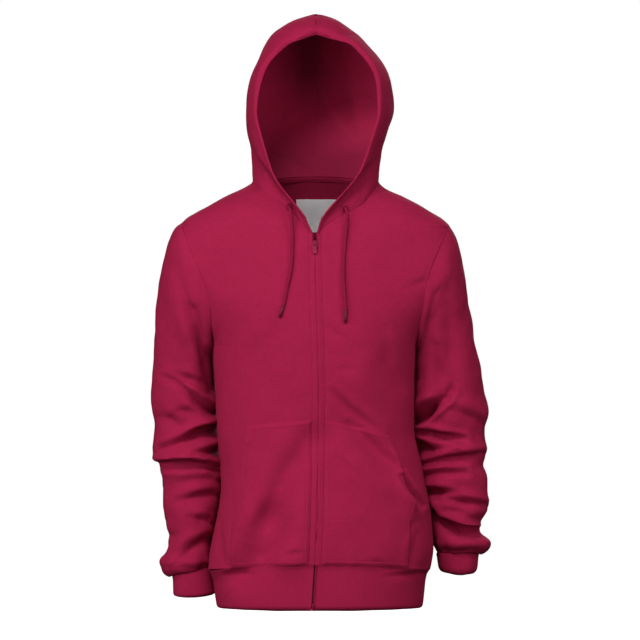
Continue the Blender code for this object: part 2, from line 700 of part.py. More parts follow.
def make_pockets(panels):
    """Each pocket is a patch from the placket seam to its open outer edge."""
    fleece = material("cherry_fleece", CHERRY)
    rows = body_rows()
    top = rows.index(-402) + 1
    columns = slice(PLACKET_COLUMN, POCKET_COLUMN + 1)
    for side, name in SIDE_NAMES.items():
        front = panels["front_" + name]
        grid = front.grid[:top, columns]
        start = np.full(grid.shape[:2], LAID_GAP)
        high, low = POCKET_MOUTH_Z
        for row, z in enumerate(rows[:top]):
            share = np.clip((z - low) / (high - low), 0, 1)
            gape = POCKET_GAPE[side] * math.sin(math.pi * share)
            start[row, -1] += gape
            start[row, -2] += gape * POCKET_LEAN
        outward = front.outward[:top, columns]
        moved = draw_in(grid, False)
        thick = np.full(grid.shape[:2], FLEECE)
        laid_on("pocket_" + name, moved, outward, start, thick, fleece, turned=-side)


def make_neck_trim(panels):
    """The tape over the back neck seam and the label under it, on the back's inner side."""
    back = panels["back"]
    inner = back.grid - back.outward * FLEECE
    tape_finish = material("cherry_tape", DARK_CHERRY)
    last = len(inner) - 1
    top_row = SHOULDER_ROWS[-1] - SHOULDER_ROWS[-2] + NAPE_RISE
    columns = range(NECK_TAPE["first"], 2 * BACK_COLUMNS + 1 - NECK_TAPE["first"])
    places = (last - NECK_TAPE["wide"] / top_row, last - LAID_GAP / 3)
    grid = np.array([[on_grid(inner, row, c) for c in columns] for row in places])
    normals = [[unit(on_grid(back.outward, row, c)) for c in columns] for row in (last - 1, last)]
    gap = np.full(grid.shape[:2], LAID_GAP)
    thick = np.full(grid.shape[:2], NECK_TAPE["thick"])
    laid_on("neck_tape", grid, -np.array(normals), gap, thick, tape_finish, turned=-1)

    grid, normals = [], []
    for z in np.linspace(LABEL["top_z"] - LABEL["height"], LABEL["top_z"], LABEL["rows"]):
        heights = [on_grid(inner, row, BACK_COLUMNS)[2] for row in range(last + 1)]
        row = float(np.interp(z, heights, range(last + 1)))
        line = np.array([on_grid(inner, row, c) for c in range(2 * BACK_COLUMNS + 1)])
        points, leans = [], []
        for x in np.linspace(-LABEL["width"] / 2, LABEL["width"] / 2, LABEL["columns"]):
            column = float(np.interp(x, line[:, 0], range(len(line))))
            points.append(on_grid(inner, row, column))
            leans.append(unit(on_grid(back.outward, row, column)))
        grid.append(points)
        normals.append(leans)
    grid = np.array(grid)
    gap = np.full(grid.shape[:2], LABEL["off"])
    thick = np.full(grid.shape[:2], LABEL["thick"])
    finish = material("grey_label", GREY, 0.7)
    laid_on("neck_label", grid, -np.array(normals), gap, thick, finish, turned=-1)


# ---------------------------------------------------------------- the zip
def zip_rows(top, bottom):
    """The panels' own row heights between the two ends, so a strip bends where they bend."""
    inside = HEM_ROWS[::-1] + BODY_ROWS[1:] + tuple(rows_of_armhole())
    return [bottom] + [z for z in inside if bottom + FLEECE < z < top - FLEECE] + [top]


def zip_strip(name, across, top, bottom, depths, finish):
    """A strip that follows the zip behind the cloth. across holds x from the zip's middle."""
    near, far = [], []
    for z in zip_rows(top, bottom):
        middle = smooth(ZIP_LINE, "x", z)
        near_row, far_row = [], []
        for x in across:
            side = RIGHT if x < 0 else LEFT
            point, outward = body_at(side, middle + x, z, 0)
            near_row.append(point - outward * depths[0])
            far_row.append(point - outward * depths[1])
        near.append(near_row)
        far.append(far_row)
    return wall(name, np.array(near), np.array(far), finish, turned=-1)


def slider_frame():
    """Where the slider sits: its middle on the chain, x to the left, z up along the cloth."""
    z = SLIDER["z"]
    middle = smooth(ZIP_LINE, "x", z)
    depth = CHAIN["below_cloth"] + CHAIN["thick"] / 2
    point, outward = body_at(LEFT, middle + SEAM_GAP, z, -depth)
    outward = Vector((0, outward[1], outward[2])).normalized()
    up = Vector((1, 0, 0)).cross(-outward)
    frame = Matrix((Vector((1, 0, 0)), -outward, up)).transposed().to_4x4()
    frame.translation = Vector((middle, point[1], point[2])) * MM
    return frame


def box(mesh, x, y, z):
    """Adds a box between two values on each axis, in millimetres."""
    size = Vector((x[1] - x[0], y[1] - y[0], z[1] - z[0])) * MM
    middle = Vector((x[0] + x[1], y[0] + y[1], z[0] + z[1])) * MM / 2
    place = Matrix.Translation(middle) @ Matrix.Diagonal((*size, 1))
    return bmesh.ops.create_cube(mesh, size=1, matrix=place)["verts"]


def joined(name, boxes, finish, cut=None):
    """One solid from boxes that overlap, with an opening cut through it where one is given."""
    def helper(label, limits):
        mesh = bmesh.new()
        box(mesh, *limits)
        data = bpy.data.meshes.new(label)
        mesh.to_mesh(data)
        mesh.free()
        obj = bpy.data.objects.new(label, data)
        obj.hide_render = True
        obj.display_type = "WIRE"
        CUTTERS.objects.link(obj)
        return obj

    mesh = bmesh.new()
    box(mesh, *boxes[0])
    data = bpy.data.meshes.new(name)
    mesh.to_mesh(data)
    mesh.free()
    obj = add_object(name, data, finish)
    for number, limits in enumerate(boxes[1:]):
        union = obj.modifiers.new("join", "BOOLEAN")
        union.operation = "UNION"
        union.solver = "EXACT"
        union.object = helper(f"{name}_add_{number}", limits)
        union.object.parent = obj
    if cut:
        opening = obj.modifiers.new("opening", "BOOLEAN")
        opening.operation = "DIFFERENCE"
        opening.solver = "EXACT"
        opening.object = helper(name + "_cut", cut)
        opening.object.parent = obj
    return obj


def make_slider(finish):
    half, plate, mouth = SLIDER["half"], SLIDER["plate"], SLIDER["mouth"]
    end = SLIDER["length"] / 2
    front = (-mouth - plate, -mouth)
    foot = (BRIDGE["inside"] / 2, BRIDGE["length"] / 2)
    top = -mouth - plate - BRIDGE["room"]
    across = (-BRIDGE["half"], BRIDGE["half"])
    post = (-POST["half"], POST["half"])
    post_top = end - POST["set_back"]
    boxes = [
        ((-half, half), front, (-end, end)),
        ((-half, half), (mouth, mouth + plate), (-end, end)),
        (post, (-mouth - LAP, mouth + LAP), (post_top - POST["length"], post_top)),
        (across, (top - BRIDGE["thick"], -mouth - LAP), foot),
        (across, (top - BRIDGE["thick"], -mouth - LAP), (-foot[1], -foot[0])),
        (across, (top - BRIDGE["thick"], top), (-foot[1], foot[1])),
    ]
    slider = joined("zip_slider", boxes, finish)
    slider.matrix_world = slider_frame()
    return slider


def make_pull(finish):
    """The pull hangs from the slider's bridge by the bar at its upper end, its joint's axis."""
    half, thick, bar = PULL["half"], PULL["thick"] / 2, PULL["bar"]
    grip_half, grip_thick = half + PULL_GRIP["wider"], thick + PULL_GRIP["thicker"]
    boxes = [
        ((-half, half), (-thick, thick), (-PULL["length"], bar)),
        ((-grip_half, grip_half), (-grip_thick, grip_thick), (-PULL["length"], PULL_GRIP["top"])),
    ]
    eye_half, through = PULL["eye_half"], 3 * thick
    opening = ((-eye_half, eye_half), (-through, through), (-PULL["eye"], -bar))
    pull = joined("zip_pull", boxes, finish, cut=opening)
    out = SLIDER["mouth"] + SLIDER["plate"] + BRIDGE["room"] / 2
    frame = slider_frame() @ Matrix.Translation((0, -out * MM, 0))
    pull.matrix_world = frame @ Matrix.Rotation(-math.radians(PULL["lean_deg"]), 4, "X")
    return pull


def make_zip():
    tape = material("zip_tape", DARK_CHERRY)
    coil = material("zip_coil", (0.2, 0.008, 0.033), 0.5)
    metal = material("slider_enamel", (0.25, 0.01, 0.042), 0.35, 0.4)
    depth = CHAIN["below_cloth"]
    under = (depth, depth + TAPE["thick"])
    for side, name in SIDE_NAMES.items():
        across = sorted((side * TAPE["inner"], side * TAPE["outer"]))
        top = NECK_BASE_Z - SEAM_GAP
        zip_strip("zip_tape_" + name, across, top, TAPE["bottom_z"], under, tape)
    whole = (-CHAIN["half"], CHAIN["half"])
    through = (depth, depth + CHAIN["thick"])
    zip_strip("zip_chain", whole, CHAIN["top_z"], CHAIN["bottom_z"], through, coil)
    stop = (-ZIP_BOX["half"], ZIP_BOX["half"])
    thick = (depth, depth + ZIP_BOX["thick"])
    zip_strip("zip_box", stop, ZIP_BOX["top_z"], ZIP_BOX["bottom_z"], thick, metal)
    make_slider(metal)
    make_pull(metal)


# ---------------------------------------------------------------- drawcords
def nearest_on_hood(panel, x, z):
    """The hood's surface at a place in front view, beside the face edge."""
    best = None
    for row in np.linspace(0, len(HOOD_LOW_ROWS) + 1, 81):
        for column in np.linspace(0, HOOD_SIDE_COLUMN, 91):
            point = on_grid(panel.grid, row, column)
            away = math.hypot(point[0] - x, point[2] - z)
            if best is None or away < best[0]:
                best = (away, point, unit(on_grid(panel.outward, row, column)))
    return best[1], best[2]


def curve_through(points, spacing, straight):
    """Evenly spaced points on a smooth curve through the given ones, past a straight start."""
    points = [np.array(p, float) for p in points]
    ends = [2 * points[0] - points[1]] + points + [2 * points[-1] - points[-2]]
    fine = []
    for a, b, c, d in zip(ends, ends[1:], ends[2:], ends[3:]):
        for t in np.linspace(0, 1, 24, endpoint=False):
            fine.append(
                0.5 * (2 * b + (c - a) * t + (2 * a - 5 * b + 4 * c - d) * t**2
                       + (3 * b - a - 3 * c + d) * t**3)
            )
    fine = np.array(fine + [points[-1]])
    reach = np.concatenate([[0], np.cumsum(np.linalg.norm(np.diff(fine, axis=0), axis=1))])
    count = round((reach[-1] - straight) / spacing)
    marks = np.append(0, np.linspace(straight, reach[-1], count + 1))
    return np.array([[np.interp(m, reach, fine[:, i]) for i in range(3)] for m in marks])


def tube(name, points, diameter, finish):
    data = bpy.data.curves.new(name, "CURVE")
    data.dimensions = "3D"
    data.bevel_depth = diameter / 2 * MM
    data.bevel_resolution = 2
    data.use_fill_caps = True
    spline = data.splines.new("POLY")
    spline.points.add(len(points) - 1)
    for place, point in zip(spline.points, points):
        place.co = (*(np.array(point) * MM), 1)
    return add_object(name, data, finish)


def make_cords(panels):
    cord = material("cherry_cord", CHERRY_RIB)
    dipped = material("dipped_tip", DARK_CHERRY, 0.4)
    for side, name in SIDE_NAMES.items():
        exit_point, outward = nearest_on_hood(panels["hood_" + name], *CORD_EXIT[side])
        route = [exit_point + outward * out for out in CORD_START]
        for x, z, out in CORD_ROUTE[side]:
            route.append(body_at(side, x, z, out)[0])
        straight = CORD_START[-1] - CORD_START[0]
        points = curve_through(route, CORD_SPACING * CORD_DIAMETER, straight)
        tube("drawcord_" + name, points, CORD_DIAMETER, cord)
        end = points[-1]
        tip, _ = body_at(side, *CORD_TIP[side], TIP_DIAMETER / 2 + CORD_CLEAR)
        ahead = unit(tip - end)
        tube("cord_tip_" + name, [end + ahead * TIP_GAP, tip], TIP_DIAMETER, dipped)
        bpy.ops.mesh.primitive_torus_add(
            major_radius=EYELET["ring"] * MM, minor_radius=EYELET["wire"] * MM,
            major_segments=16, minor_segments=6,
        )
        ring_object = bpy.context.object
        ring_object.name = ring_object.data.name = "eyelet_" + name
        facing = Vector((0, 0, 1)).rotation_difference(Vector(outward))
        place = Vector(exit_point + outward * (EYELET["wire"] + EYELET["lift"])) * MM
        ring_object.matrix_world = Matrix.Translation(place) @ facing.to_matrix().to_4x4()
        for collection in ring_object.users_collection:
            collection.objects.unlink(ring_object)
        PARTS.objects.link(ring_object)
        ring_object.data.materials.append(cord)


for old in list(bpy.data.objects):
    bpy.data.objects.remove(old)
PARTS = bpy.data.collections.new("zip_up_hoodie")
CUTTERS = bpy.data.collections.new("cutters")
bpy.context.scene.collection.children.link(PARTS)
bpy.context.scene.collection.children.link(CUTTERS)
sewn = make_cloth()
make_pockets(sewn)
make_neck_trim(sewn)
make_zip()
make_cords(sewn)
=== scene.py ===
"""The looks of a cherry red zip up hoodie, worn with its hood up. Metres, +Z up. The front faces
-Y, the wearer's right is -X and left is +X. Sizes in the tables are in millimetres."""

import math

import bmesh
import bpy
import numpy as np
from mathutils import Matrix, Vector, noise
from mathutils.bvhtree import BVHTree
from mathutils.kdtree import KDTree


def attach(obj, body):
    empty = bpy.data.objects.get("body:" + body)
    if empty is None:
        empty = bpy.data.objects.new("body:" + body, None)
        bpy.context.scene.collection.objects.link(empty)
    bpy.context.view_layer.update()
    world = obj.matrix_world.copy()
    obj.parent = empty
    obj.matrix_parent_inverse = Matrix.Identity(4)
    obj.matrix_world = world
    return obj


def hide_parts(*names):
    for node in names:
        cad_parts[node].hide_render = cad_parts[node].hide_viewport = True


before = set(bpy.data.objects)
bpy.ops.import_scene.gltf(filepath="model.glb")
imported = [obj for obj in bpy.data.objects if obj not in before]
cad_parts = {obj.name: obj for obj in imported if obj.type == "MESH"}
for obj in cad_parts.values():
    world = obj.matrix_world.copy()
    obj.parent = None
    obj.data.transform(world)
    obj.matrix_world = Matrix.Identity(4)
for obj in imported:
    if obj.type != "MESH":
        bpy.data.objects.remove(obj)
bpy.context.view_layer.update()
MM = 0.001
SIDES = {"right": -1, "left": 1}


# ---------------------------------------------------------------- camera, floor and lights
# A long lens level with the waist, square to the front, and a white studio floor. Two soft
# lights stand above the camera, two beside it and a broad weak one below, and one is behind.
FLOOR_HEIGHT, FLOOR_RADIUS = -0.86, 40
LIGHTS_AIM = (0, 0, -0.25)

camera_data = bpy.data.cameras.new("camera")
camera_data.lens = 544
camera_data.clip_end = 60
camera = bpy.data.objects.new("camera", camera_data)
camera.location = (0.0068, -16.5, -0.2329)
camera.rotation_euler = (math.pi / 2, 0, 0)
bpy.context.scene.collection.objects.link(camera)
bpy.context.scene.camera = camera

lights = (
    {"at": (-1.0, -3.2, 2.8), "size": 1.3, "power": 108},
    {"at": (3.0, -2.0, 3.0), "size": 1.6, "power": 54},
    {"at": (-3.0, -2.6, 0.2), "size": 2.4, "power": 98},
    {"at": (3.0, -2.6, 0.2), "size": 2.4, "power": 40},
    {"at": (0.0, -3.6, -0.2), "size": 4.5, "power": 38},
    {"at": (0.4, 3.6, 1.4), "size": 2.4, "power": 130},
)
for number, light in enumerate(lights):
    lamp = bpy.data.lights.new(f"softbox_{number}", "AREA")
    lamp.shape = "DISK"
    lamp.size = light["size"]
    lamp.energy = light["power"]
    placed = bpy.data.objects.new(lamp.name, lamp)
    placed.location = light["at"]
    aim = Vector(LIGHTS_AIM) - placed.location
    placed.rotation_euler = aim.to_track_quat("-Z", "Y").to_euler()
    bpy.context.scene.collection.objects.link(placed)

world = bpy.data.worlds.new("studio")
world.use_nodes = True
world.node_tree.nodes["Background"].inputs["Color"].default_value = (1, 1, 1, 1)
bpy.context.scene.world = world
world.cycles_visibility.diffuse = False
world.cycles_visibility.glossy = False
bpy.context.scene.view_settings.view_transform = "Standard"



def object_of(name, mesh):
    """Puts a finished mesh into the scene as an object."""
    data = bpy.data.meshes.new(name)
    mesh.to_mesh(data)
    mesh.free()
    obj = bpy.data.objects.new(name, data)
    bpy.context.scene.collection.objects.link(obj)
    return obj


floor_mesh = bmesh.new()
bmesh.ops.create_circle(floor_mesh, cap_ends=True, segments=64, radius=FLOOR_RADIUS)
bmesh.ops.translate(floor_mesh, verts=floor_mesh.verts, vec=(0, 0, FLOOR_HEIGHT))
studio_floor = object_of("studio_floor", floor_mesh)
studio_floor.visible_diffuse = False
studio_floor.visible_glossy = False


# ---------------------------------------------------------------- how the finishes are written
class Value:
    """A number that a material's nodes work out. Arithmetic on it adds Math nodes."""

    def __init__(self, finish, socket):
        self.finish = finish
        self.socket = socket

    def math(self, operation, first, second=None):
        node = self.finish.tree.nodes.new("ShaderNodeMath")
        node.operation = operation
        self.finish.put(node.inputs[0], first)
        if second is not None:
            self.finish.put(node.inputs[1], second)
        return Value(self.finish, node.outputs[0])

    def __add__(self, other):
        return self.math("ADD", self, other)

    def __sub__(self, other):
        return self.math("SUBTRACT", self, other)

    def __rsub__(self, other):
        return self.math("SUBTRACT", other, self)

    def __mul__(self, other):
        return self.math("MULTIPLY", self, other)

    def __truediv__(self, other):
        return self.math("DIVIDE", self, other)

    def __rtruediv__(self, other):
        return self.math("DIVIDE", other, self)

    __radd__ = __add__
    __rmul__ = __mul__

    def sine(self):
        return self.math("SINE", self)

    def hump(self, width):
        """1 where the value is 0, falling to nothing at about twice the width."""
        share = self / width
        return self.math("POWER", math.e, share * share * -1.0)

    def clamped(self):
        return self.math("MINIMUM", self.math("MAXIMUM", self, 0.0), 1.0)


class Finish:
    """A material: a Principled shader and the nodes that feed it."""

    def __init__(self, name, **constants):
        self.material = bpy.data.materials.new(name)
        self.material.use_nodes = True
        self.tree = self.material.node_tree
        self.shader = self.tree.nodes["Principled BSDF"]
        for socket, value in constants.items():
            self.shader.inputs[socket.replace("_", " ")].default_value = value

    def put(self, socket, value):
        if isinstance(value, Value):
            self.tree.links.new(value.socket, socket)
        else:
            socket.default_value = value

    def node(self, kind, output=0, settings=(), **inputs):
        """Adds a node. Underscores in the inputs' names stand for spaces."""
        node = self.tree.nodes.new(kind)
        for setting, value in dict(settings).items():
            setattr(node, setting, value)
        for name, value in inputs.items():
            self.put(node.inputs[name.replace("_", " ")], value)
        return Value(self, node.outputs[output])

    def place(self):
        return self.node("ShaderNodeTexCoord", output="Object")

    def speckle(self, scale, detail=2.0, stretch=(1, 1, 1)):
        """Noise in metres of the object's own space, from 0 to 1."""
        vector = self.node("ShaderNodeMapping", Vector=self.place(), Scale=stretch)
        return self.node(
            "ShaderNodeTexNoise", Vector=vector, Scale=scale, Detail=detail, Roughness=0.6
        )

    def attribute(self, name):
        return self.node(
            "ShaderNodeAttribute", output="Fac", settings={"attribute_name": name}
        )

    def blend(self, share, first, second):
        node = self.tree.nodes.new("ShaderNodeMix")
        node.data_type = "RGBA"
        self.put(node.inputs[0], share)
        self.put(node.inputs[6], first)
        self.put(node.inputs[7], second)
        return Value(self, node.outputs[2])

    def bump(self, height, distance):
        return self.node("ShaderNodeBump", Height=height, Distance=distance)

    def feed(self, **inputs):
        for name, value in inputs.items():
            self.put(self.shader.inputs[name.replace("_", " ")], value)
        return self.material


white = Finish("studio_white", Roughness=0.9, Emission_Strength=1.0)
grain = white.speckle(3.0)
studio_floor.data.materials.append(
    white.feed(
        Base_Color=white.blend(grain, (0.86, 0.86, 0.86, 1), (0.9, 0.9, 0.9, 1)),
        Emission_Color=(1, 1, 1, 1),
    )
)


# ---------------------------------------------------------------- drawcords
# Two round braided cords in the cloth's colour, painted darker than the cloth with painted shade.
# Each comes out of a worked eyelet in the hood's front edge and hangs down the chest. Their ends
# are dipped to stop them fraying.
CORD_DIAMETER = 5.2
TIP_RADII = (2.9, 2.4)  # where the dip begins, and at the end
TIP_ROUNDING = 0.9
EYELET_RADIUS, EYELET_THREAD, EYELET_STITCHES = 4.8, 1.05, 24
CORD_LINES = {
    "right": (
        (-44.98, -80.3, -40.4), (-47.3, -83.81, -40.39), (-43.54, -88.41, -44.82),
        (-42.82, -91.04, -53.22), (-41.83, -92.6, -61.85), (-41.01, -93.96, -70.54),
        (-40.44, -96.05, -79.1), (-40.02, -98.35, -87.62), (-39.9, -100.5, -96.18),
        (-40.01, -102.48, -104.79), (-40.17, -104.4, -113.41), (-40.43, -106.29, -122.04),
        (-40.84, -108.13, -130.67), (-41.47, -109.92, -139.3), (-42.54, -111.6, -147.9),
        (-44.16, -113.13, -156.45), (-46.14, -114.57, -164.94), (-48.12, -115.96, -173.43),
        (-49.78, -117.4, -181.98), (-51.3, -118.82, -190.57), (-52.81, -120.2, -199.16),
        (-55.01, -121.19, -207.6),
    ),
    "left": (
        (49.24, -81.5, -43.57), (50.66, -85.51, -43.13), (52.46, -88.95, -50.35),
        (52.68, -91.58, -58.8), (52.33, -92.9, -67.54), (51.67, -94.56, -76.21),
        (50.8, -96.8, -84.73), (49.92, -99.1, -93.23), (49.19, -101.23, -101.79),
        (48.56, -103.17, -110.41), (47.91, -105.05, -119.04), (47.32, -106.89, -127.68),
        (46.83, -108.7, -136.33), (46.5, -110.48, -145.0), (46.44, -112.23, -153.67),
        (46.71, -113.92, -162.36), (47.19, -115.58, -171.04), (47.8, -117.2, -179.72),
        (48.46, -118.79, -188.41), (49.02, -120.35, -197.11), (49.62, -121.61, -205.85),
        (50.2, -122.61, -214.62),
    ),
}
CORD_ENDS = {"right": (-61.94, -122.46, -228.74), "left": (49.52, -125.27, -237.58)}
EYELETS = {  # middle, and the way it faces
    "right": ((-45.88, -81.74, -40.4), (-0.53312, -0.84604, -0.0027)),
    "left": ((49.81, -83.09, -43.4), (0.33247, -0.9379, 0.09904)),
}

# The braid is darker than the fleece: painted shade of the cords, shared by the eyelets.
braid = Finish("cord_braid", Roughness=0.95, Specular_IOR_Level=0.05)
up = braid.node("ShaderNodeSeparateXYZ", output="Z", Vector=braid.place())
plait = (up * 2600.0).sine() * 0.5 + braid.speckle(900.0) * 0.8
braid_material = braid.feed(
    Base_Color=braid.blend(
        braid.speckle(500.0), (0.19, 0.007, 0.031, 1), (0.27, 0.01, 0.045, 1)
    ),
    Normal=braid.bump(plait, 0.0005),
)


def hard_finish(name, patches, dark, light, grain, depth, **constants):
    """A nearly even finish, slightly uneven in colour and in height."""
    finish = Finish(name, **constants)
    return finish.feed(
        Base_Color=finish.blend(finish.speckle(patches), (*dark, 1), (*light, 1)),
        Normal=finish.bump(finish.speckle(grain), depth),
    )


dip_material = hard_finish(
    "dipped_end", 300.0, (0.11, 0.005, 0.019), (0.15, 0.006, 0.026), 600.0, 0.0002,
    Roughness=0.6, Specular_IOR_Level=0.2,
)
for name in SIDES:
    cord_data = bpy.data.curves.new("cord_" + name, "CURVE")
    cord_data.dimensions = "3D"
    cord_data.bevel_depth = CORD_DIAMETER / 2 * MM
    cord_data.bevel_resolution = 4
    cord_data.use_fill_caps = True
    line = cord_data.splines.new("POLY")
    line.points.add(len(CORD_LINES[name]) - 1)
    for point, place in zip(line.points, CORD_LINES[name]):
        point.co = (*(Vector(place) * MM), 1)
    line.use_smooth = True
    cord = bpy.data.objects.new("cord_" + name, cord_data)
    bpy.context.scene.collection.objects.link(cord)
    cord_data.materials.append(braid_material)

    start, end = Vector(CORD_LINES[name][-1]) * MM, Vector(CORD_ENDS[name]) * MM
    along = end - start
    tip_mesh = bmesh.new()
    turned = Vector((0, 0, 1)).rotation_difference(along.normalized()).to_matrix().to_4x4()
    bmesh.ops.create_cone(
        tip_mesh, cap_ends=True, segments=20, radius1=TIP_RADII[0] * MM,
        radius2=TIP_RADII[1] * MM, depth=along.length,
        matrix=Matrix.Translation((start + end) / 2) @ turned,
    )
    rim = [edge for edge in tip_mesh.edges if any(len(f.verts) > 4 for f in edge.link_faces)]
    bmesh.ops.bevel(
        tip_mesh, geom=rim, offset=TIP_ROUNDING * MM, segments=3, affect="EDGES", material=-1
    )
    tip = object_of("dipped_end_" + name, tip_mesh)
    tip.data.shade_smooth()
    tip.data.materials.append(dip_material)

    middle, facing = Vector(EYELETS[name][0]) * MM, Vector(EYELETS[name][1])
    ring_mesh = bmesh.new()
    bmesh.ops.create_circle(
        ring_mesh, segments=10, radius=EYELET_THREAD * MM,
        matrix=Matrix.Translation((EYELET_RADIUS * MM, 0, 0))
        @ Matrix.Rotation(math.pi / 2, 4, "X"),
    )
    bmesh.ops.spin(
        ring_mesh, geom=ring_mesh.verts[:] + ring_mesh.edges[:], cent=(0, 0, 0), axis=(0, 0, 1),
        angle=2 * math.pi, steps=48, use_merge=True,
    )
    for vert in ring_mesh.verts:
        turn = math.atan2(vert.co.y, vert.co.x)
        vert.co *= 1 + 0.02 * math.sin(EYELET_STITCHES * turn)
    facing_turn = Vector((0, 0, 1)).rotation_difference(facing).to_matrix().to_4x4()
    bmesh.ops.transform(
        ring_mesh, verts=ring_mesh.verts, matrix=Matrix.Translation(middle) @ facing_turn
    )
    bmesh.ops.recalc_face_normals(ring_mesh, faces=ring_mesh.faces)
    ring = object_of("worked_eyelet_" + name, ring_mesh)
    ring.data.shade_smooth()
    ring.data.materials.append(braid_material)

    for piece, node, slot in (
        (cord, "drawcord_" + name, "cherry_cord"),
        (tip, "cord_tip_" + name, "dipped_tip"),
        (ring, "eyelet_" + name, "cherry_cord"),
    ):
        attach(piece, "garment")
        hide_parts(node)


# ---------------------------------------------------------------- how the cloth is made
# Every panel is the outer face of its wall in the frame, made finer, smoothed, creased and given
# its thickness again.
CORNERS = (  # where three or more panels meet
    (-229.5, 0, -75), (227, 0, -75), (-177, 0, -282), (172, 0, -282), (-107, 0, 0),
    (106, 0, 0), (-183, 0, -658), (195, 0, -658), (-6.6, -97, -89.5), (2.9, -97, -89.5),
)
ARM_LINES = {
    "right": ((-198, 0, -190), (-226, 20, -335), (-221, 34, -470), (-213, 27, -700)),
    "left": ((196, 0, -190), (224, 20, -335), (232, 34, -470), (245, 27, -665)),
}
WALL_LIMIT = 0.006  # no wall of the frame is thicker, in metres
BACK_TO_BACK = -0.8  # cosine between the two faces of a wall
SAME_FACE = 0.35  # cosine of the sharpest turn within one face of a wall
FLUSH = 0.6  # cosine between a face and the ones beside it that are kept
CORNER_REACH = 3
FITTING_ROUNDS = 5


def nearest_on(line, place):
    """The point of a line that is nearest to a place."""
    best = None
    for a, b in zip(line, line[1:]):
        share = min(1.0, max(0.0, (place - a).dot(b - a) / (b - a).length_squared))
        point = a + (b - a) * share
        if best is None or (place - point).length < (place - best).length:
            best = point
    return best


def inside_of(node, place):
    """A point in the middle of the hollow that a panel stands round."""
    if node.startswith(("sleeve", "cuff")):
        line = [Vector(point) * MM for point in ARM_LINES[node.split("_")[1]]]
        return nearest_on(line, place)
    if node.startswith("hood"):
        low = -0.06 + 2 * max(0.0, place.z)
        return Vector((0, 0.005, low if place.z < 0.06 else min(place.z, 0.15)))
    return Vector((0, 0, min(place.z, -0.2)))


def outer_skin(node):
    """The outer face of a wall of the frame: its inner face and its rim are left off."""
    mesh = bmesh.new()
    mesh.from_mesh(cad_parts[node].data)
    bmesh.ops.remove_doubles(mesh, verts=mesh.verts, dist=1e-5)
    mesh.normal_update()
    tree = BVHTree.FromBMesh(mesh)
    left = set()
    for face in mesh.faces:
        middle = face.calc_center_median()
        start = middle - face.normal * 1e-4
        hit, normal, _, _ = tree.ray_cast(start, -face.normal, WALL_LIMIT)
        if hit is not None and normal.dot(face.normal) < BACK_TO_BACK:
            left.add(face)
    kept = set()
    while left:
        seed = left.pop()
        patch, waiting, outward = {seed}, [seed], 0.0
        while waiting:
            face = waiting.pop()
            middle = face.calc_center_median()
            way = middle - inside_of(node, middle)
            outward += math.copysign(face.calc_area(), face.normal.dot(way))
            for edge in face.edges:
                for other in edge.link_faces:
                    if other in left and face.normal.dot(other.normal) > SAME_FACE:
                        left.discard(other)
                        patch.add(other)
                        waiting.append(other)
        if outward > 0:
            kept |= patch
    for _ in range(4):
        for face in [f for f in mesh.faces if f not in kept]:
            beside = [
                edge for edge in face.edges
                if any(g in kept and face.normal.dot(g.normal) > FLUSH for g in edge.link_faces)
            ]
            if len(beside) >= 2:
                kept.add(face)
    loose = [face for face in mesh.faces if face not in kept]
    bmesh.ops.delete(mesh, geom=loose, context="FACES")
    bmesh.ops.holes_fill(mesh, edges=mesh.edges, sides=4)
    bmesh.ops.join_triangles(
        mesh, faces=mesh.faces, angle_face_threshold=math.pi, angle_shape_threshold=math.pi,
        topology_influence=1.5,
    )
    return mesh


def as_modified(obj):
    """A copy of the object's mesh with its modifiers applied."""
    seen = obj.evaluated_get(bpy.context.evaluated_depsgraph_get())
    return bpy.data.meshes.new_from_object(seen)


def made_fine(name, mesh, levels, passes):
    """An object with the panel divided and smoothed. It still goes through the panel's points,
    and keeps its edges and corners."""
    obj = object_of(name, mesh)
    data = obj.data
    held = data.attributes.new("crease_vert", "FLOAT", "POINT")
    for vert in data.vertices:
        if any((vert.co / MM - Vector(corner)).length < CORNER_REACH for corner in CORNERS):
            held.data[vert.index].value = 1.0
    divide = obj.modifiers.new("divide", "SUBSURF")
    divide.levels = 1
    divide.boundary_smooth = "PRESERVE_CORNERS"
    wanted = np.empty(len(data.vertices) * 3)
    data.vertices.foreach_get("co", wanted)
    cage = wanted.copy()
    for _ in range(FITTING_ROUNDS):
        divided = as_modified(obj)
        found = np.empty(len(divided.vertices) * 3)
        divided.vertices.foreach_get("co", found)
        bpy.data.meshes.remove(divided)
        cage += wanted - found[: len(wanted)]
        data.vertices.foreach_set("co", cage)
        data.update()
    divide.levels = levels
    fine_data = as_modified(obj)
    obj.modifiers.clear()
    fine = bmesh.new()
    fine.from_mesh(fine_data)
    inner = [vert for vert in fine.verts if not vert.is_boundary]
    for _ in range(passes):
        bmesh.ops.smooth_vert(
            fine, verts=inner, factor=0.5, use_axis_x=True, use_axis_y=True, use_axis_z=True
        )
    fine.to_mesh(fine_data)
    fine.free()
    fine_data.name = name
    obj.data = fine_data
    return obj


def points_of(obj):
    """The cloth's points in millimetres, and the way it faces at each."""
    count = len(obj.data.vertices)
    places, normals = np.empty(count * 3), np.empty(count * 3)
    obj.data.vertices.foreach_get("co", places)
    obj.data.vertices.foreach_get("normal", normals)
    return places.reshape(-1, 3) / MM, normals.reshape(-1, 3)


def move_points(obj, places):
    """Puts the cloth's points at places given in millimetres."""
    obj.data.vertices.foreach_set("co", (places * MM).ravel())
    obj.data.update()


def note(obj, name, values):
    """Keeps a number for each point of the cloth, for its finish to read."""
    kept = obj.data.attributes.new(name, "FLOAT", "POINT")
    kept.data.foreach_set("value", np.asarray(values, np.float32))


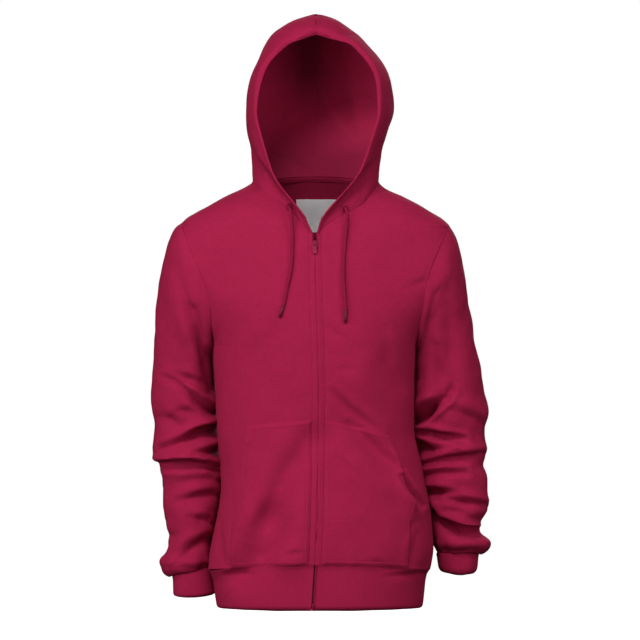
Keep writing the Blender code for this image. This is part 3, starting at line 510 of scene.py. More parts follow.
def from_edge(obj, wanted=lambda place: True):
    """Distance of each point from the cloth's own edge, in millimetres."""
    mesh = bmesh.new()
    mesh.from_mesh(obj.data)
    ends = [v.co for e in mesh.edges if e.is_boundary for v in e.verts if wanted(v.co / MM)]
    middles = [
        (e.verts[0].co + e.verts[1].co) / 2 for e in mesh.edges
        if e.is_boundary and wanted(e.verts[0].co / MM) and wanted(e.verts[1].co / MM)
    ]
    tree = KDTree(len(ends) + len(middles))
    for index, place in enumerate(ends + middles):
        tree.insert(place, index)
    tree.balance()
    found = [tree.find(vert.co)[2] / MM for vert in mesh.verts]
    mesh.free()
    return np.array(found)


def creased(places, normals, creases, front=-1, spread=1.0):
    """How far out a table of creases moves each point. A row is a line in x and z, its width, its
    depth, its lip and where along it is deepest. The lip is the share of the depth that stands
    up along the upper side, or along the lower side if below 0. A depth below 0 makes a ridge."""
    seen = np.clip((normals[:, 1] * front + 0.2) / 0.5, 0, 1)
    flat = places[:, (0, 2)]
    total = np.zeros(len(flat))
    for line, width, depth, lip, peak in creases:
        line = np.array(line, float)
        steps = np.diff(line, axis=0)
        lengths = np.hypot(steps[:, 0], steps[:, 1])
        reached = np.concatenate([[0], np.cumsum(lengths)])
        away = np.full(len(flat), 1e6)
        share = np.zeros(len(flat))
        for start, step, length, before in zip(line, steps, lengths, reached):
            way = step / length
            across = np.array((-way[1], way[0])) * (1 if way[0] > 0 else -1)
            offset = flat - start
            along = np.clip(offset @ way, 0, length)
            beside = offset - along[:, None] * way
            gap = np.hypot(beside[:, 0], beside[:, 1])
            closer = gap < np.abs(away)
            away = np.where(closer, np.copysign(gap, beside @ across), away)
            share = np.where(closer, (before + along) / reached[-1], share)
        strength = 0.2 + 0.8 * np.exp(-(((share - peak) / 0.45) ** 2))
        away = away / (width * spread * (0.6 + 0.4 * strength)) * math.copysign(1, lip)
        trough = np.exp(-((away / np.where(away > 0, 0.85, 1.25)) ** 2))
        lips = np.exp(-((away - 1.9) ** 2)) + 0.4 * np.exp(-(((away + 2.7) / 1.4) ** 2))
        total += depth * strength * (abs(lip) * lips - trough)
    return total * seen


def undulation(places, size, amount, seed):
    """A soft unevenness of worn cloth."""
    shift = Vector((seed * 7.1, seed * 3.7, seed * 5.3))
    return np.array([noise.noise(Vector(p) / size + shift) for p in places]) * amount


def turned_in(obj, reach=0.45, sink=0.15):
    """Turns the cloth's edges in where they are sewn, so that panels meet in a soft groove."""
    mesh = bmesh.new()
    mesh.from_mesh(obj.data)
    mesh.normal_update()
    ways = {}
    for vert in [vert for vert in mesh.verts if vert.is_boundary]:
        beside = [edge.other_vert(vert).co for edge in vert.link_edges if not edge.is_boundary]
        beside = beside or [edge.other_vert(vert).co for edge in vert.link_edges]
        ways[vert] = (vert.co - sum(beside, Vector()) / len(beside)).normalized()
    for _ in range(4):
        ways = {
            vert: (way + sum(
                (ways[edge.other_vert(vert)] for edge in vert.link_edges if edge.is_boundary),
                Vector(),
            )).normalized()
            for vert, way in ways.items()
        }
    for vert, way in ways.items():
        vert.co += (way * reach - vert.normal * sink) * MM
    mesh.to_mesh(obj.data)
    mesh.free()


def rolled(distance, radius):
    """How far an open edge is rolled in, at a distance from it."""
    left = np.clip(radius - distance, 0, radius)
    return np.sqrt(radius**2 - left**2) - radius


def put_on(obj, node, thick, sewn=True, lining=None):
    """Gives the cloth its thickness again, and its place in the frame. lining is the finish of
    the side that is worn inwards, where that shows."""
    if sewn:
        turned_in(obj)
    wall = obj.modifiers.new("thickness", "SOLIDIFY")
    wall.thickness = thick * MM
    wall.offset = -1
    wall.use_even_offset = False
    if lining:
        obj.data.materials.append(lining)
        wall.material_offset = 1
    crisp = obj.modifiers.new("crisp edges", "EDGE_SPLIT")
    crisp.split_angle = 0.9
    obj.data.shade_smooth()
    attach(obj, "garment")
    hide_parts(node)


KNIT = {
    "Roughness": 0.95, "Specular_IOR_Level": 0.03, "Sheen_Weight": 0.03, "Sheen_Roughness": 0.5,
    "Sheen_Tint": (1.0, 0.16, 0.3, 1),
}
# Painted shadow: the colour that rows of stitching and seams are darkened towards, for the shade
# in their grooves.
STITCH_SHADOW_PAINT = (0.05, 0.002, 0.008, 1)
# Painted shade: the colour that the inside of the hood is darkened towards at its crown and nape.
HOOD_SHADE_PAINT = (0.1, 0.007, 0.022, 1)


def fleece(
    name, lit=(0.345, 0.014, 0.0575), shade=(0.24, 0.009, 0.0385), lines=(), pressed=None
):
    """Brushed sweatshirt fleece with a faint heather that runs round the body. lines are rows of
    stitching: the attribute that holds a distance, how far along it the row lies, and how deep
    it draws the cloth in and darkens it with painted shadow. pressed names the attribute that
    says where painted shade darkens the cloth."""
    cloth = Finish(name, **KNIT)
    heather = cloth.speckle(520.0, 4.0, (0.3, 0.3, 1))
    patches = cloth.speckle(60.0, 3.0, (0.5, 0.5, 1))
    tone = (heather * 1.5 - 0.25) * 0.65 + patches * 0.35
    nap = cloth.speckle(1100.0, 3.0) * 0.5 + cloth.speckle(260.0, 3.0, (0.7, 0.7, 1)) * 0.6
    dark = 0.0
    # Each row also darkens the colour: painted shadow in the stitch groove.
    for attribute, at, draw in lines:
        row = (cloth.attribute(attribute) - at).hump(0.9)
        nap = nap - row * (draw * 0.3)
        dark = row * (draw * 0.05) + dark
    base = cloth.blend(tone.clamped(), (*shade, 1), (*lit, 1))
    if lines:
        base = cloth.blend(dark.clamped(), base, STITCH_SHADOW_PAINT)
    if pressed:
        base = cloth.blend(cloth.attribute(pressed).clamped(), base, HOOD_SHADE_PAINT)
    return cloth.feed(Base_Color=base, Normal=cloth.bump(nap, 0.0007))


def rib(name, lit=(0.33, 0.0132, 0.055), shade=(0.25, 0.009, 0.039), wide=2.4):
    """Fine rib knit, folded double: its wales run up and down."""
    cloth = Finish(name, **KNIT)
    wale = (cloth.attribute("round") * (2 * math.pi / wide)).sine() * 0.5 + 0.5
    heather = cloth.speckle(520.0, 4.0, (0.3, 0.3, 1))
    seam = cloth.attribute("from_seam").hump(1.2)
    # Each wale is painted a little lighter and the valleys between them darker: painted shade in
    # the rib's grooves.
    tone = wale * 0.12 + heather * 0.88
    base = cloth.blend(tone.clamped(), (*shade, 1), (*lit, 1))
    # The seam is darkened: painted shadow in the seam's groove.
    base = cloth.blend((seam * 0.08).clamped(), base, STITCH_SHADOW_PAINT)
    height = wale * 0.22 + cloth.speckle(900.0) * 0.4 - seam * 0.3
    return cloth.feed(Base_Color=base, Normal=cloth.bump(height, 0.0006))


# Folds that cross more than one panel of the body: as seen from the front, and from behind.
BODY_CREASES = (
    (
        ((-10, -430), (-48, -488), (-65, -525), (-80, -567), (-98, -620), (-132, -672)),
        22, 10.0, 0.45, 0.7,
    ),
    (((-44, -573), (-65, -607), (-92, -634)), 12, 4.5, 0.4, 0.6),
    (((-66, -556), (-92, -622), (-116, -664)), 26, 8.0, 0.4, 0.55),
    (((-51, -631), (-24, -627)), 6, 2.0, 0.3, 0.5),
    (((-116, -447), (-126, -498), (-129, -546)), 5, 2.0, 0.3, 0.5),
    (((-163, -573), (-153, -650)), 7, 2.5, 0.4, 0.6),
    (((27, -355), (58, -386), (85, -406), (109, -420)), 7, 3.5, 0.5, 0.4),
    (((58, -411), (88, -437), (109, -461), (133, -478), (143, -495)), 10, 5.5, 0.4, 0.45),
    (((37, -467), (63, -491)), 6, 1.6, 0.3, 0.5),
    (((150, -178), (182, -168)), 6, 2.0, 0.4, 0.8),
    (((18, -246), (44, -262), (74, -284)), 8, 2.4, 0.4, 0.2),
    (((116, -250), (126, -311), (146, -345)), 13, 3.5, 0.3, 0.6),
    (((37, -318), (65, -315)), 7, 1.2, 0.3, 0.5),
    (((171, -597), (160, -650)), 7, 2.5, 0.5, 0.5),
    (((119, -668), (182, -664)), 5, 2.0, 0.5, 0.6),
    (((90, -642), (114, -645)), 6, 1.6, 0.3, 0.5),
    (((-150, -663), (-110, -665)), 5, 2.0, 0.6, 0.5),
    (((-60, -252), (-112, -288)), 14, 1.6, 0.3, 0.5),
    (((148, -498), (160, -524), (180, -550)), 5, 8.0, 0.8, 0.5),
    (((-150, -215), (-172, -268)), 8, 1.8, 0.3, 0.8),
)
BACK_CREASES = (
    (((-64, -318), (-6, -342), (70, -352)), 10, 5.0, 0.5, 0.5),
    (((-116, -388), (-50, -420), (38, -430)), 9, 5.5, 0.6, 0.4),
    (((100, -448), (44, -486), (-24, -506)), 10, 5.0, 0.6, 0.5),
    (((-142, -226), (-112, -286), (-100, -334)), 9, 4.5, 0.4, 0.4),
    (((142, -220), (112, -280), (98, -326)), 9, 4.5, 0.4, 0.4),
    (((-78, -556), (-30, -590), (22, -600)), 9, 3.5, 0.5, 0.5),
    (((126, -556), (92, -600), (60, -624)), 9, 4.0, 0.5, 0.5),
    (((-20, -116), (20, -128), (62, -140)), 13, 2.0, 0.3, 0.5),
    (((-156, -478), (-124, -506), (-96, -544)), 8, 4.0, 0.5, 0.5),
)

ZIP_Z = (0, -92, -117, -192, -279, -367, -439, -570, -673, -727)
ZIP_X = (-2, -2, -1.5, 0, 3.4, 5, 3.4, 1.7, -3.4, -7)
HEM_SEAM, HEM_GATHERS = -651, 23
SHOULDER_RISE = {  # distances from the middle, and how far up the cloth stands there
    "right": ((85, 130, 160, 188, 208, 228, 240, 260), (0, 3, 3.4, 1.8, 3, 7.6, 7.6, 5)),
    "left": ((85, 115, 145), (0, 1.7, 3.5)),
}
RISE_BOTTOM, RISE_HEIGHT = -190, 90  # it grows from nothing to all of it over this height


def zip_middle(heights):
    """How far to the left the middle of the zip is, at each height."""
    return np.interp(heights, ZIP_Z[::-1], ZIP_X[::-1])


def shoulder_rise(places):
    """The shoulders stand a little higher than the walls, most at the sleeve's seam."""
    across = np.abs(places[:, 0])
    right = np.interp(across, *SHOULDER_RISE["right"])
    left = np.interp(across, *SHOULDER_RISE["left"])
    grown = np.clip((places[:, 2] - RISE_BOTTOM) / RISE_HEIGHT, 0, 1)
    lift = np.where(places[:, 0] < 0, right, left) * grown**2 * (3 - 2 * grown)
    return np.outer(lift, (0, 0, 1))


def body_shape(places, normals):
    """All that presses the body's panels in or out, so that they stay together at their seams."""
    out = creased(places, normals, BODY_CREASES)
    out += creased(places, normals, BACK_CREASES, front=1)
    out += undulation(places, 70, 2.4, 1) + undulation(places, 30, 0.7, 2)
    above_hem = np.abs(places[:, 2] - HEM_SEAM)
    round_body = np.arctan2(places[:, 1], places[:, 0])
    waves = np.sin(HEM_GATHERS * round_body + 2.5 * np.sin(5 * round_body) + 1.3)
    out += 0.8 * waves * np.exp(-above_hem / 12)
    from_zip = np.abs(places[:, 0] - zip_middle(places[:, 2]))
    out *= np.where(places[:, 1] < 0, np.clip(from_zip / 30, 0.15, 1), 1)
    return out


# ---------------------------------------------------------------- back
# One piece of fleece from the hem band to the neck, joined to the fronts at the side and
# shoulder seams. It hangs in soft folds below the shoulder blades.
back = made_fine("back_panel", outer_skin("back"), 3, 6)
places, normals = points_of(back)
out = body_shape(places, normals)
move_points(back, places + shoulder_rise(places) + normals * out[:, None])
note(back, "from_seam", from_edge(back))
back.data.materials.append(
    fleece("back_fleece", lines=(("from_seam", 0.0, 1.0), ("from_seam", 6.0, 0.8)))
)
put_on(back, "back", 2.0)


# ---------------------------------------------------------------- fronts
# The right and left fronts meet at the zip. A narrow facing is turned under along the zip and
# stitched 11 mm from its middle, and its folded lips stand a little proud of the chain.
LIPS_TOP, STITCHES_TOP, CLOSED_TOP = -80, -86, -112
PULL_MIDDLE, PULL_REACH = -112.5, 11.5
PULL_ROOM = {  # how far the cloth is pressed in behind the zip pull, and how wide
    "right": {"press": 2.1, "wide": 7},
    "left": {"press": 1.3, "wide": 6},
}
for name, side in SIDES.items():
    front = made_fine("front_panel_" + name, outer_skin("front_" + name), 3, 6)
    places, normals = points_of(front)
    out = body_shape(places, normals)
    from_zip = np.abs(places[:, 0] - zip_middle(places[:, 2]))
    lip = 0.9 * np.exp(-(((from_zip - 4.5) / 2.5) ** 2)) - 0.7 * np.exp(-((from_zip / 2) ** 2))
    lip -= 0.6 * np.exp(-(((from_zip - 11) / 2) ** 2))
    out += np.where(places[:, 2] < LIPS_TOP, lip, 0)
    room = PULL_ROOM[name]
    below_pull = (places[:, 2] - PULL_MIDDLE) / PULL_REACH
    out -= room["press"] * np.exp(-((from_zip / room["wide"]) ** 2) - below_pull**2)
    own = np.flatnonzero((from_edge(front) < 0.3) & (from_zip < 5))
    own = own[np.argsort(places[own, 2])]
    gap = np.interp(places[:, 2], places[own, 2], from_zip[own])
    closed = (gap - 0.1) * np.exp(-(((from_zip - gap) / 4) ** 2))
    places[:, 0] -= side * closed * np.clip((CLOSED_TOP - places[:, 2]) / 12, 0, 1)
    move_points(front, places + shoulder_rise(places) + normals * out[:, None])
    note(front, "from_seam", from_edge(front))
    note(front, "from_zip", np.where(places[:, 2] < STITCHES_TOP, from_zip, 60))
    front.data.materials.append(
        fleece(
            "front_fleece_" + name,
            lines=(
                ("from_seam", 0.0, 1.0), ("from_seam", 6.0, 0.8), ("from_zip", 10.8, 2.2),
                ("from_zip", 4.0, 0.8),
            ),
        )
    )
    put_on(front, "front_" + name, 2.0)


# ---------------------------------------------------------------- sleeves
# Long set-in sleeves, each one piece with a seam under the arm. They are gathered into the cuffs,
# and the cloth breaks into creases at the elbow and piles up above the cuff.
SLEEVE_CREASES = {
    "right": (
        (((-241, -165), (-228, -233), (-200, -301)), 9, -3.0, 0.3, 0.5),
        (((-209, -216), (-200, -250), (-187, -294), (-177, -352)), 8, 6.0, 0.3, 0.6),
        (((-256, -330), (-234, -342), (-200, -372), (-173, -391)), 4.5, 5.5, 0.7, 0.8),
        (((-240, -326), (-197, -340)), 5, 2.5, 0.4, 0.6),
        (((-231, -386), (-207, -390)), 5, 2.0, 0.4, 0.5),
        (((-258, -399), (-241, -406)), 6, 2.2, 0.4, 0.5),
        (((-262, -452), (-221, -437), (-194, -422), (-170, -415)), 5.5, 8.0, 0.8, 0.75),
        (((-209, -460), (-187, -457), (-165, -454)), 5, 6.0, 0.6, 1.0),
        (
            ((-272, -478), (-255, -478), (-214, -477), (-187, -480), (-173, -486)),
            4.5, 7.5, 0.8, 0.5,
        ),
        (((-235, -542), (-207, -535), (-180, -530)), 6, 4.5, 0.5, 0.7),
        (((-214, -569), (-187, -575)), 5, 3.0, 0.5, 0.7),
        (((-246, -514), (-222, -508), (-182, -505)), 7, 2.0, 0.4, 0.8),
        (((-235, -641), (-214, -624), (-187, -607)), 7, 4.5, 0.5, 0.6),
        (((-256, -603), (-232, -600)), 6, 2.0, 0.4, 0.3),
    ),
    "left": (
        (((204, -280), (208, -320), (212, -352)), 8, 4.0, 0.2, 0.55),
        (((178, -402), (192, -394), (214, -368)), 9, 5.5, 0.25, 0.35),
        (((224, -168), (226, -260), (228, -350)), 12, 4.0, 0.3, 0.75),
        (((205, -190), (190, -250), (180, -330)), 8, 5.0, 0.3, 0.6),
        (((170, -408), (194, -386), (224, -365), (232, -352)), 5, 8.0, -0.7, 0.25),
        (((170, -421), (211, -430), (252, -435)), 4.5, 6.5, 0.6, 0.4),
        (((170, -444), (194, -454), (228, -454)), 7, 8.0, 0.7, 0.2),
        (((187, -478), (224, -471), (282, -460)), 5, 5.5, 0.7, 0.4),
        (((192, -496), (221, -493), (254, -493)), 4.5, 5.0, 0.6, 0.4),
        (((192, -525), (241, -529)), 5, 5.0, 0.6, 0.3),
        (((224, -539), (284, -548)), 4.5, 5.0, 0.6, 0.5),
        (((224, -557), (250, -560)), 4, 2.0, 0.4, 0.5),
        (((196, -550), (207, -573), (248, -593), (282, -597)), 5.5, 7.5, 0.8, 0.55),
        (((236, -386), (276, -404)), 7, 3.0, 0.4, 0.6),
        (((196, -372), (184, -398)), 6, 3.0, 0.3, 0.6),
    ),
}
SLEEVE_BACK_CREASES = {
    "right": (
        (((-268, -380), (-222, -398), (-180, -402)), 6, 5.0, 0.6, 0.6),
        (((-262, -432), (-226, -424), (-188, -428)), 5, 6.0, 0.7, 0.5),
        (((-266, -474), (-220, -470), (-180, -462)), 5.5, 7.0, 0.7, 0.5),
        (((-252, -520), (-212, -532), (-176, -530)), 6, 4.5, 0.5, 0.5),
        (((-250, -574), (-214, -566), (-184, -560)), 5, 4.0, 0.6, 0.5),
        (((-250, -620), (-220, -612), (-192, -606)), 6, 5.0, 0.6, 0.5),
        (((-224, -226), (-202, -268), (-184, -320)), 9, 5.0, 0.4, 0.5),
        (((-262, -318), (-222, -336), (-190, -338)), 7, 3.0, 0.4, 0.5),
    ),
    "left": (
        (((268, -372), (226, -392), (184, -398)), 6, 5.0, 0.6, 0.6),
        (((270, -424), (232, -434), (190, -430)), 5, 6.0, 0.7, 0.5),
        (((268, -468), (224, -478), (186, -476)), 5.5, 7.0, 0.7, 0.5),
        (((276, -522), (236, -514), (200, -508)), 6, 5.0, 0.6, 0.5),
        (((278, -562), (240, -570), (206, -572)), 5, 4.5, 0.6, 0.5),
        (((222, -222), (200, -262), (182, -316)), 9, 5.0, 0.4, 0.5),
        (((262, -310), (226, -330), (194, -334)), 7, 3.0, 0.4, 0.5),
    ),
}
# Where a sleeve swells out, or in towards the body where the second number is below 0: the
# height, how far, and how far up and down.
TOUCHES = {
    "right": (
        (-312, -5.0, 60), (-482, -4.0, 34), (-650, -3.0, 30), (-200, 1.5, 60), (-420, 2.0, 45),
        (-560, 2.0, 70), (-165, 2.0, 30),
    ),
    "left": (
        (-312, -5.0, 60), (-525, -7.0, 60), (-190, 1.6, 60), (-320, 4.5, 55), (-480, 4.0, 50),
        (-555, 4.0, 30),
    ),
}
SLEEVE_ENDS = {
    "right": {"height": -655, "middle": (214, 27)},
    "left": {"height": -626, "middle": (243, 27)},
}
for name, side in SIDES.items():
    sleeve = made_fine("sleeve_panel_" + name, outer_skin("sleeve_" + name), 3, 4)
    places, normals = points_of(sleeve)
    edge = from_edge(sleeve)
    out = 2.0 * creased(places, normals, SLEEVE_CREASES[name], spread=1.45)
    out += 1.4 * creased(places, normals, SLEEVE_BACK_CREASES[name], front=1, spread=1.2)
    out += undulation(places, 46, 2.4, 3) + undulation(places, 22, 1.0, 4)
    out *= np.clip(edge / 12, 0, 1)
    cuff_end = SLEEVE_ENDS[name]["height"]
    middle_x, middle_y = SLEEVE_ENDS[name]["middle"]
    turn = np.arctan2(places[:, 1] - middle_y, np.abs(places[:, 0]) - middle_x)
    above = np.abs(places[:, 2] - cuff_end)
    out += 1.1 * np.sin(7 * turn + 2 * np.sin(3 * turn)) * np.exp(-above / 20)
    out += (2.6 + 1.4 * np.sin(3 * turn + 1)) * np.exp(-(((above - 11) / 8) ** 2))
    out += rolled(from_edge(sleeve, lambda place: place[2] < cuff_end + 14), 3.5)
    sideways = normals[:, 0] * side
    for level, push, reach in TOUCHES[name]:
        pressed = np.clip(sideways * math.copysign(1, push), 0, 1)
        out += abs(push) * pressed * np.exp(-(((places[:, 2] - level) / reach) ** 2))
    move_points(sleeve, places + shoulder_rise(places) + normals * out[:, None])
    note(sleeve, "from_seam", edge)
    sleeve.data.materials.append(
        fleece("sleeve_fleece_" + name, lines=(("from_seam", 0.0, 1.0), ("from_seam", 6.0, 0.6)))
    )
    put_on(sleeve, "sleeve_" + name, 2.0)


# ---------------------------------------------------------------- cuffs and hem band
# Rib knit folded double, narrower than the cloth that it gathers in. The hem band is open at the
# zip, and its ribs run down.
CUFFS = {
    "right": {
        "middle": (-212, 26), "flat": (0.215, 0.04), "area": 0.0086, "push": 6.0, "round": 6,
        "sag": 4,
    },
    "left": {
        "middle": (243, 26), "flat": (0.215, 0.034), "area": 0.0072, "push": 3.0, "round": 11,
        "sag": 5,
    },
}
CUFF_RADIUS = 34
HEM_MIDDLE, HEM_SEAM_BOTTOM, HEM_EDGE_TOP = -690, -672, -712
ZIP_END = ZIP_X[-1]
for name, cuff_size in CUFFS.items():
    cuff = made_fine("cuff_band_" + name, outer_skin("cuff_" + name), 3, 0)
    places, normals = points_of(cuff)
    middle_x, middle_y = cuff_size["middle"]
    turn = np.arctan2(places[:, 1] - middle_y, places[:, 0] - middle_x)
    note(cuff, "round", turn * CUFF_RADIUS)
    low = places[:, 2].min() + 8
    seam = from_edge(cuff, lambda place: place[2] > low + 6)
    note(cuff, "from_seam", seam)
    out = 0.6 * np.sin(9 * turn + 2 * np.sin(3 * turn)) * np.exp(-seam / 9)
    out += cuff_size["push"] * np.clip(-normals[:, 0] * SIDES[name], 0, 1)
    above = from_edge(cuff, lambda place: place[2] < low + 6)
    out += rolled(above, cuff_size["round"]) + rolled(seam, 2.5)
    bow = np.clip(1 - ((places[:, 0] - middle_x) / 38) ** 2, 0, 1) * np.clip(1 - above / 25, 0, 1)
    places[:, 2] -= cuff_size["sag"] * bow + np.clip(1 - above / 10, 0, 1)
    places[:, 2] += np.where(seam < 0.3, 2.5, 0)
    move_points(cuff, places + normals * out[:, None])
    cuff.data.materials.append(rib("cuff_rib_" + name))
    put_on(cuff, "cuff_" + name, 3.0)

hem = made_fine("hem_ribbing", outer_skin("hem_band"), 3, 2)
places, normals = points_of(hem)
turns = np.arctan2(places[:, 1], places[:, 0])
order = np.argsort(turns)
order = order[np.abs(places[order, 2] - HEM_MIDDLE) < 6]
steps = np.linspace(-math.pi, math.pi, 181)
ring_x = np.interp(steps, turns[order], places[order, 0])
ring_y = np.interp(steps, turns[order], places[order, 1])
lengths = np.concatenate([[0], np.cumsum(np.hypot(np.diff(ring_x), np.diff(ring_y)))])
note(hem, "round", np.interp(turns, steps, lengths))
seam = from_edge(hem, lambda place: place[2] > HEM_SEAM_BOTTOM)
note(hem, "from_seam", seam)
out = body_shape(places, normals) * np.clip(1.2 - seam / 60, 0.3, 1)
low_edge = from_edge(
    hem, lambda place: place[2] < HEM_EDGE_TOP and abs(place[0] - ZIP_END) > 6
)
out += rolled(low_edge, 10)
corner = np.exp(-(((places[:, 0] - ZIP_END) / 6) ** 2)) * (places[:, 1] < 0)
places[:, 2] += 1.7 * corner * np.clip((-714 - places[:, 2]) / 10, 0, 1)
move_points(hem, places + normals * out[:, None])
hem.data.materials.append(rib("hem_rib"))
put_on(hem, "hem_band", 2.6)


# ---------------------------------------------------------------- hood
# Two halves joined over the crown, sewn to the neckline. The front edge is turned back into a
# casing for the drawcord, with one row of stitching about 25 mm from the edge.
HOOD_CREASES = {
    "right": (
        (((-96, 90), (-84, 52), (-76, 10)), 8, 3.5, 0.4, 0.5),
        (((-106, 40), (-90, -4)), 7, 3.0, 0.4, 0.5),
        (((-58, -8), (-34, -50)), 6, 1.6, 0.3, 0.5),
    ),
    "left": (
        (((100, 34), (86, 8), (78, -14)), 8, 3.5, 0.4, 0.5),
        (((110, 66), (100, 20)), 8, 2.5, 0.4, 0.5),
        (((62, -10), (36, -48)), 6, 1.6, 0.3, 0.5),
    ),
}
HOOD_BACK_CREASES = (
    (((-22, 250), (-38, 222), (-46, 180), (-36, 124)), 16, 9.0, 0.25, 0.5),
    (((6, 168), (34, 120), (62, 78)), 10, 6.0, 0.4, 0.5),
    (((64, 206), (72, 150), (70, 100)), 14, 6.0, 0.3, 0.5),
    (((-60, 44), (-20, 22), (30, 20)), 10, 4.0, 0.4, 0.5),
)
CROWN_TOP, CROWN_LOW = 240, 225
FACE_FRONT = -66.5  # the hood's edge is round the face in front of this, above the neck seam
HOOD_SHADE_HEIGHT = 105  # painted shade darkens the inside above this on the crown, and below it at the nape
for name in SIDES:
    hood = made_fine("hood_half_" + name, outer_skin("hood_" + name), 3, 4)
    places, normals = points_of(hood)
    edge = from_edge(hood)
    out = creased(places, normals, HOOD_CREASES[name])
    out += creased(places, normals, HOOD_BACK_CREASES, front=1)
    out += undulation(places, 58, 2.0, 5) + undulation(places, 24, 0.6, 6)
    out *= np.clip(edge / 12, 0, 1)
    fuller = np.clip(places[:, 2] / 90, 0, 1) * np.clip(normals[:, 1] - 0.1, 0, 1)
    fuller *= np.clip((CROWN_TOP - places[:, 2]) / 60, 0, 1)
    out += 7 * fuller * np.exp(-np.abs(places[:, 0]) / 16)
    face_edge = from_edge(
        hood, lambda p: p[1] < FACE_FRONT and not (p[2] < -20 and abs(p[0]) > 45)
    )
    out += rolled(face_edge, np.interp(places[:, 2], (-35, 0, 120, 200), (0, 2, 4, 8)))
    places += normals * out[:, None]
    # The crown seam is no higher than the arch of the cloth beside it.
    from_crown = np.abs(places[:, 0])
    high = (places[:, 2] > CROWN_LOW) & (face_edge > 10)
    beside = high & (from_crown > 5) & (from_crown < 9)
    arch = np.polyfit(places[beside, 1], places[beside, 2], 6)
    ceiling = np.polyval(arch, places[:, 1]) + 0.9 - 0.12 * from_crown
    ceiling -= 2.8 * np.exp(-((from_crown / 4) ** 2) - ((places[:, 1] + 3) / 24) ** 2)
    on_crown = high & (from_crown < 6)
    places[:, 2] = np.where(on_crown, np.minimum(places[:, 2], ceiling), places[:, 2])
    move_points(hood, places)
    note(hood, "from_seam", edge)
    note(hood, "from_face", face_edge)
    hood.data.materials.append(
        fleece(
            "hood_fleece_" + name,
            lines=(("from_seam", 0.0, 1.0), ("from_face", 25.0, 1.6)),
        )
    )
    # Painted shade inside the hood: the lining is darkened over the crown and at the nape, where
    # the hood shades its own hollow.
    crown_shade = np.exp(-(((places[:, 0] + 14) / 40) ** 2))
    crown_shade *= np.clip((places[:, 2] - HOOD_SHADE_HEIGHT) / 90, 0, 1)
    nape_shade = np.clip((HOOD_SHADE_HEIGHT - places[:, 2]) / 60, 0, 1)
    nape_shade *= np.clip((places[:, 1] + 55) / 60, 0, 1)
    note(hood, "rubbed", np.clip(0.9 * crown_shade + 0.55 * nape_shade, 0, 0.85))
    # The inside is a lighter copy of the fleece: painted light inside the hood's hollow.
    lit_lining = fleece(
        "hood_inside_" + name, (0.48, 0.023, 0.085), (0.34, 0.016, 0.059), pressed="rubbed"
    )
    put_on(hood, "hood_" + name, 2.4, lining=lit_lining)


# ---------------------------------------------------------------- pockets
# Flat patches sewn on over the fronts at the top, the zip side and the hem. The hand goes in
# at the slanting outer edge, which stands away from the front.
POCKET_HANDS = {  # the open edge: heights, and distances from the middle
    "right": ((-648, -600, -560, -520, -480, -440, -420), (144, 140, 136, 130, 128, 122, 120)),
    "left": ((-648, -600, -560, -520, -480, -440, -420), (160, 161, 161, 152, 145, 130, 124)),
}
POCKET_GAPES = {  # how far the open edge stands off the front, sideways, and at what height
    "right": {"off": 1.0, "sideways": 0.0, "height": -520},
    "left": {"off": 4.5, "sideways": 8.0, "height": -540},
}
for name, side in SIDES.items():
    pocket = made_fine("pocket_patch_" + name, outer_skin("pocket_" + name), 4, 2)
    places, normals = points_of(pocket)
    out = body_shape(places, normals)
    hand = POCKET_HANDS[name]
    sewn = from_edge(pocket, lambda p: p[0] * side < np.interp(p[2], *hand) - 5 or p[2] < -575)
    out -= 1.9 * np.exp(-((sewn / 2.5) ** 2))
    from_hand = places[:, 0] * side - np.interp(places[:, 2], *hand)
    gapes = POCKET_GAPES[name]
    open_here = np.exp(-((from_hand / 14) ** 2) - ((places[:, 2] - gapes["height"]) / 26) ** 2)
    places[:, 0] += side * gapes["sideways"] * open_here
    out += gapes["off"] * open_here
    move_points(pocket, places + normals * out[:, None])
    note(pocket, "from_seam", from_edge(pocket))
    pocket.data.materials.append(
        fleece(
            "pocket_fleece_" + name,
            lines=(("from_seam", 0.0, 1.2), ("from_seam", 2.5, 1.2), ("from_seam", 9.0, 1.0)),
        )
    )
    put_on(pocket, "pocket_" + name, 2.0)


# ---------------------------------------------------------------- neck tape and label
# A woven tape covers the back neck seam. Under it hangs a plain grey woven label, sewn along
# its top.
def woven(
    name, axis, threads, dark, light, depth, rise=0.5, grain=900.0, patches=(400.0,), **constants
):
    """A woven finish: its threads lie side by side along the axis."""
    cloth = Finish(name, **constants)
    along = cloth.node("ShaderNodeSeparateXYZ", output=axis, Vector=cloth.place())
    weave = (along * threads).sine() * rise + cloth.speckle(grain)
    return cloth.feed(
        Base_Color=cloth.blend(cloth.speckle(*patches), (*dark, 1), (*light, 1)),
        Normal=cloth.bump(weave, depth),
    )


tape = made_fine("neck_binding", outer_skin("neck_tape"), 2, 0)
tape.data.materials.append(
    woven(
        "neck_twill", "X", 5200.0, (0.29, 0.011, 0.048), (0.38, 0.015, 0.063), 0.0004,
        Roughness=0.95, Specular_IOR_Level=0.05,
    )
)
put_on(tape, "neck_tape", 1.0, sewn=False)

label = made_fine("neck_tag", outer_skin("neck_label"), 3, 0)
label.data.materials.append(
    woven(
        "tag_weave", "Z", 6000.0, (0.86, 0.86, 0.88), (0.94, 0.94, 0.95), 0.0003, rise=0.4,
        grain=700.0, patches=(120.0, 3.0), Roughness=0.6,
    )
)
put_on(label, "neck_label", 0.7, sewn=False)


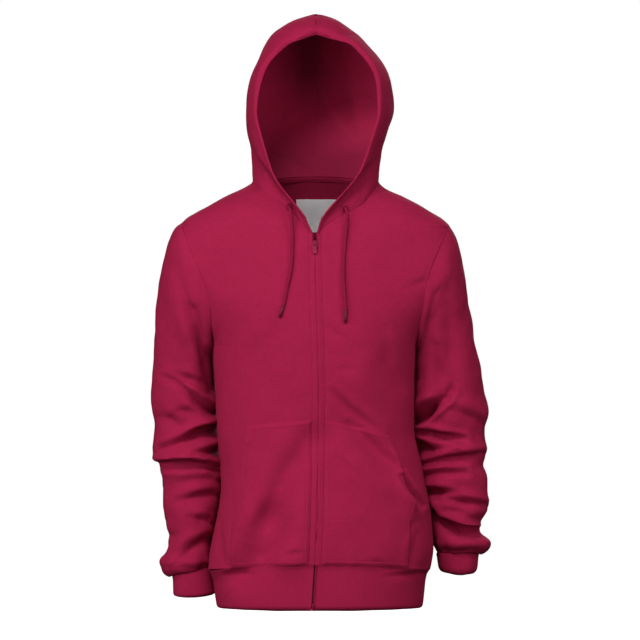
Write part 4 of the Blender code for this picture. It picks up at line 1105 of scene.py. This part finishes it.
# ---------------------------------------------------------------- zip
# A nylon coil zip from the neck to the hem, on woven tapes behind the fronts. The slider is at
# the top and stays there, and its pull tab hangs from the bridge and swings.
CHAIN_TOP, CHAIN_BOTTOM = -106.0, -710.0
TOOTH_PITCH, TOOTH_SHIFT = 1.5, 0.45
TOOTH_SIZE = (4.4, 1.8, 1.05)
TOOTH_SINK = 0.6
nylon_material = hard_finish(
    "coil_nylon", 200.0, (0.11, 0.005, 0.019), (0.16, 0.007, 0.028), 900.0, 0.0001,
    Roughness=0.5, Specular_IOR_Level=0.2,
)
coil_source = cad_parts["zip_chain"]
chain_tree = BVHTree.FromPolygons(
    [v.co.copy() for v in coil_source.data.vertices],
    [tuple(p.vertices) for p in coil_source.data.polygons],
)
teeth_mesh = bmesh.new()
for tooth, height in enumerate(np.arange(CHAIN_TOP, CHAIN_BOTTOM, -TOOTH_PITCH)):
    shift = TOOTH_SHIFT if tooth % 2 else -TOOTH_SHIFT
    hit, normal, _, _ = chain_tree.ray_cast(
        Vector((zip_middle(height), -200, height)) * MM, Vector((0, 1, 0)), 0.4
    )
    if hit is not None:
        turned = Vector((0, -1, 0)).rotation_difference(normal).to_matrix().to_4x4()
        place = Matrix.Translation(hit + Vector((shift, TOOTH_SINK, 0)) * MM) @ turned
        scaled = Matrix.Diagonal((*(Vector(TOOTH_SIZE) * MM), 1))
        bmesh.ops.create_cube(teeth_mesh, size=1, matrix=place @ scaled)
teeth = object_of("zip_teeth", teeth_mesh)
teeth.data.materials.append(nylon_material)
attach(teeth, "garment")
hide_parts("zip_chain")

zip_tape_material = woven(
    "zip_tape_weave", "Z", 5200.0, (0.07, 0.004, 0.013), (0.11, 0.005, 0.02), 0.0003,
    Roughness=0.85,
)
enamel_material = hard_finish(
    "zip_enamel", 150.0, (0.2, 0.008, 0.034), (0.26, 0.01, 0.042), 500.0, 0.0001,
    Roughness=0.55, Specular_IOR_Level=0.15,
)
for node, body, slot, material, bevel in (
    ("zip_tape_right", "garment", "zip_tape", zip_tape_material, 0.1),
    ("zip_tape_left", "garment", "zip_tape", zip_tape_material, 0.1),
    ("zip_box", "garment", "slider_enamel", enamel_material, 0.3),
    ("zip_slider", "garment", "slider_enamel", enamel_material, 0.25),
    ("zip_pull", "pull", "slider_enamel", enamel_material, 0.2),
):
    mesh = bmesh.new()
    mesh.from_mesh(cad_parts[node].data)
    bmesh.ops.remove_doubles(mesh, verts=mesh.verts, dist=1e-6)
    bmesh.ops.dissolve_limit(mesh, angle_limit=0.02, verts=mesh.verts, edges=mesh.edges)
    mesh.normal_update()
    sharp = [e for e in mesh.edges if len(e.link_faces) == 2 and e.calc_face_angle() > 0.7]
    bmesh.ops.bevel(
        mesh, geom=sharp, offset=bevel * MM, segments=2, affect="EDGES", material=-1,
        clamp_overlap=True,
    )
    piece = object_of(node + "_finished", mesh)
    piece.data.materials.append(material)
    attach(piece, body)
    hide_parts(node)
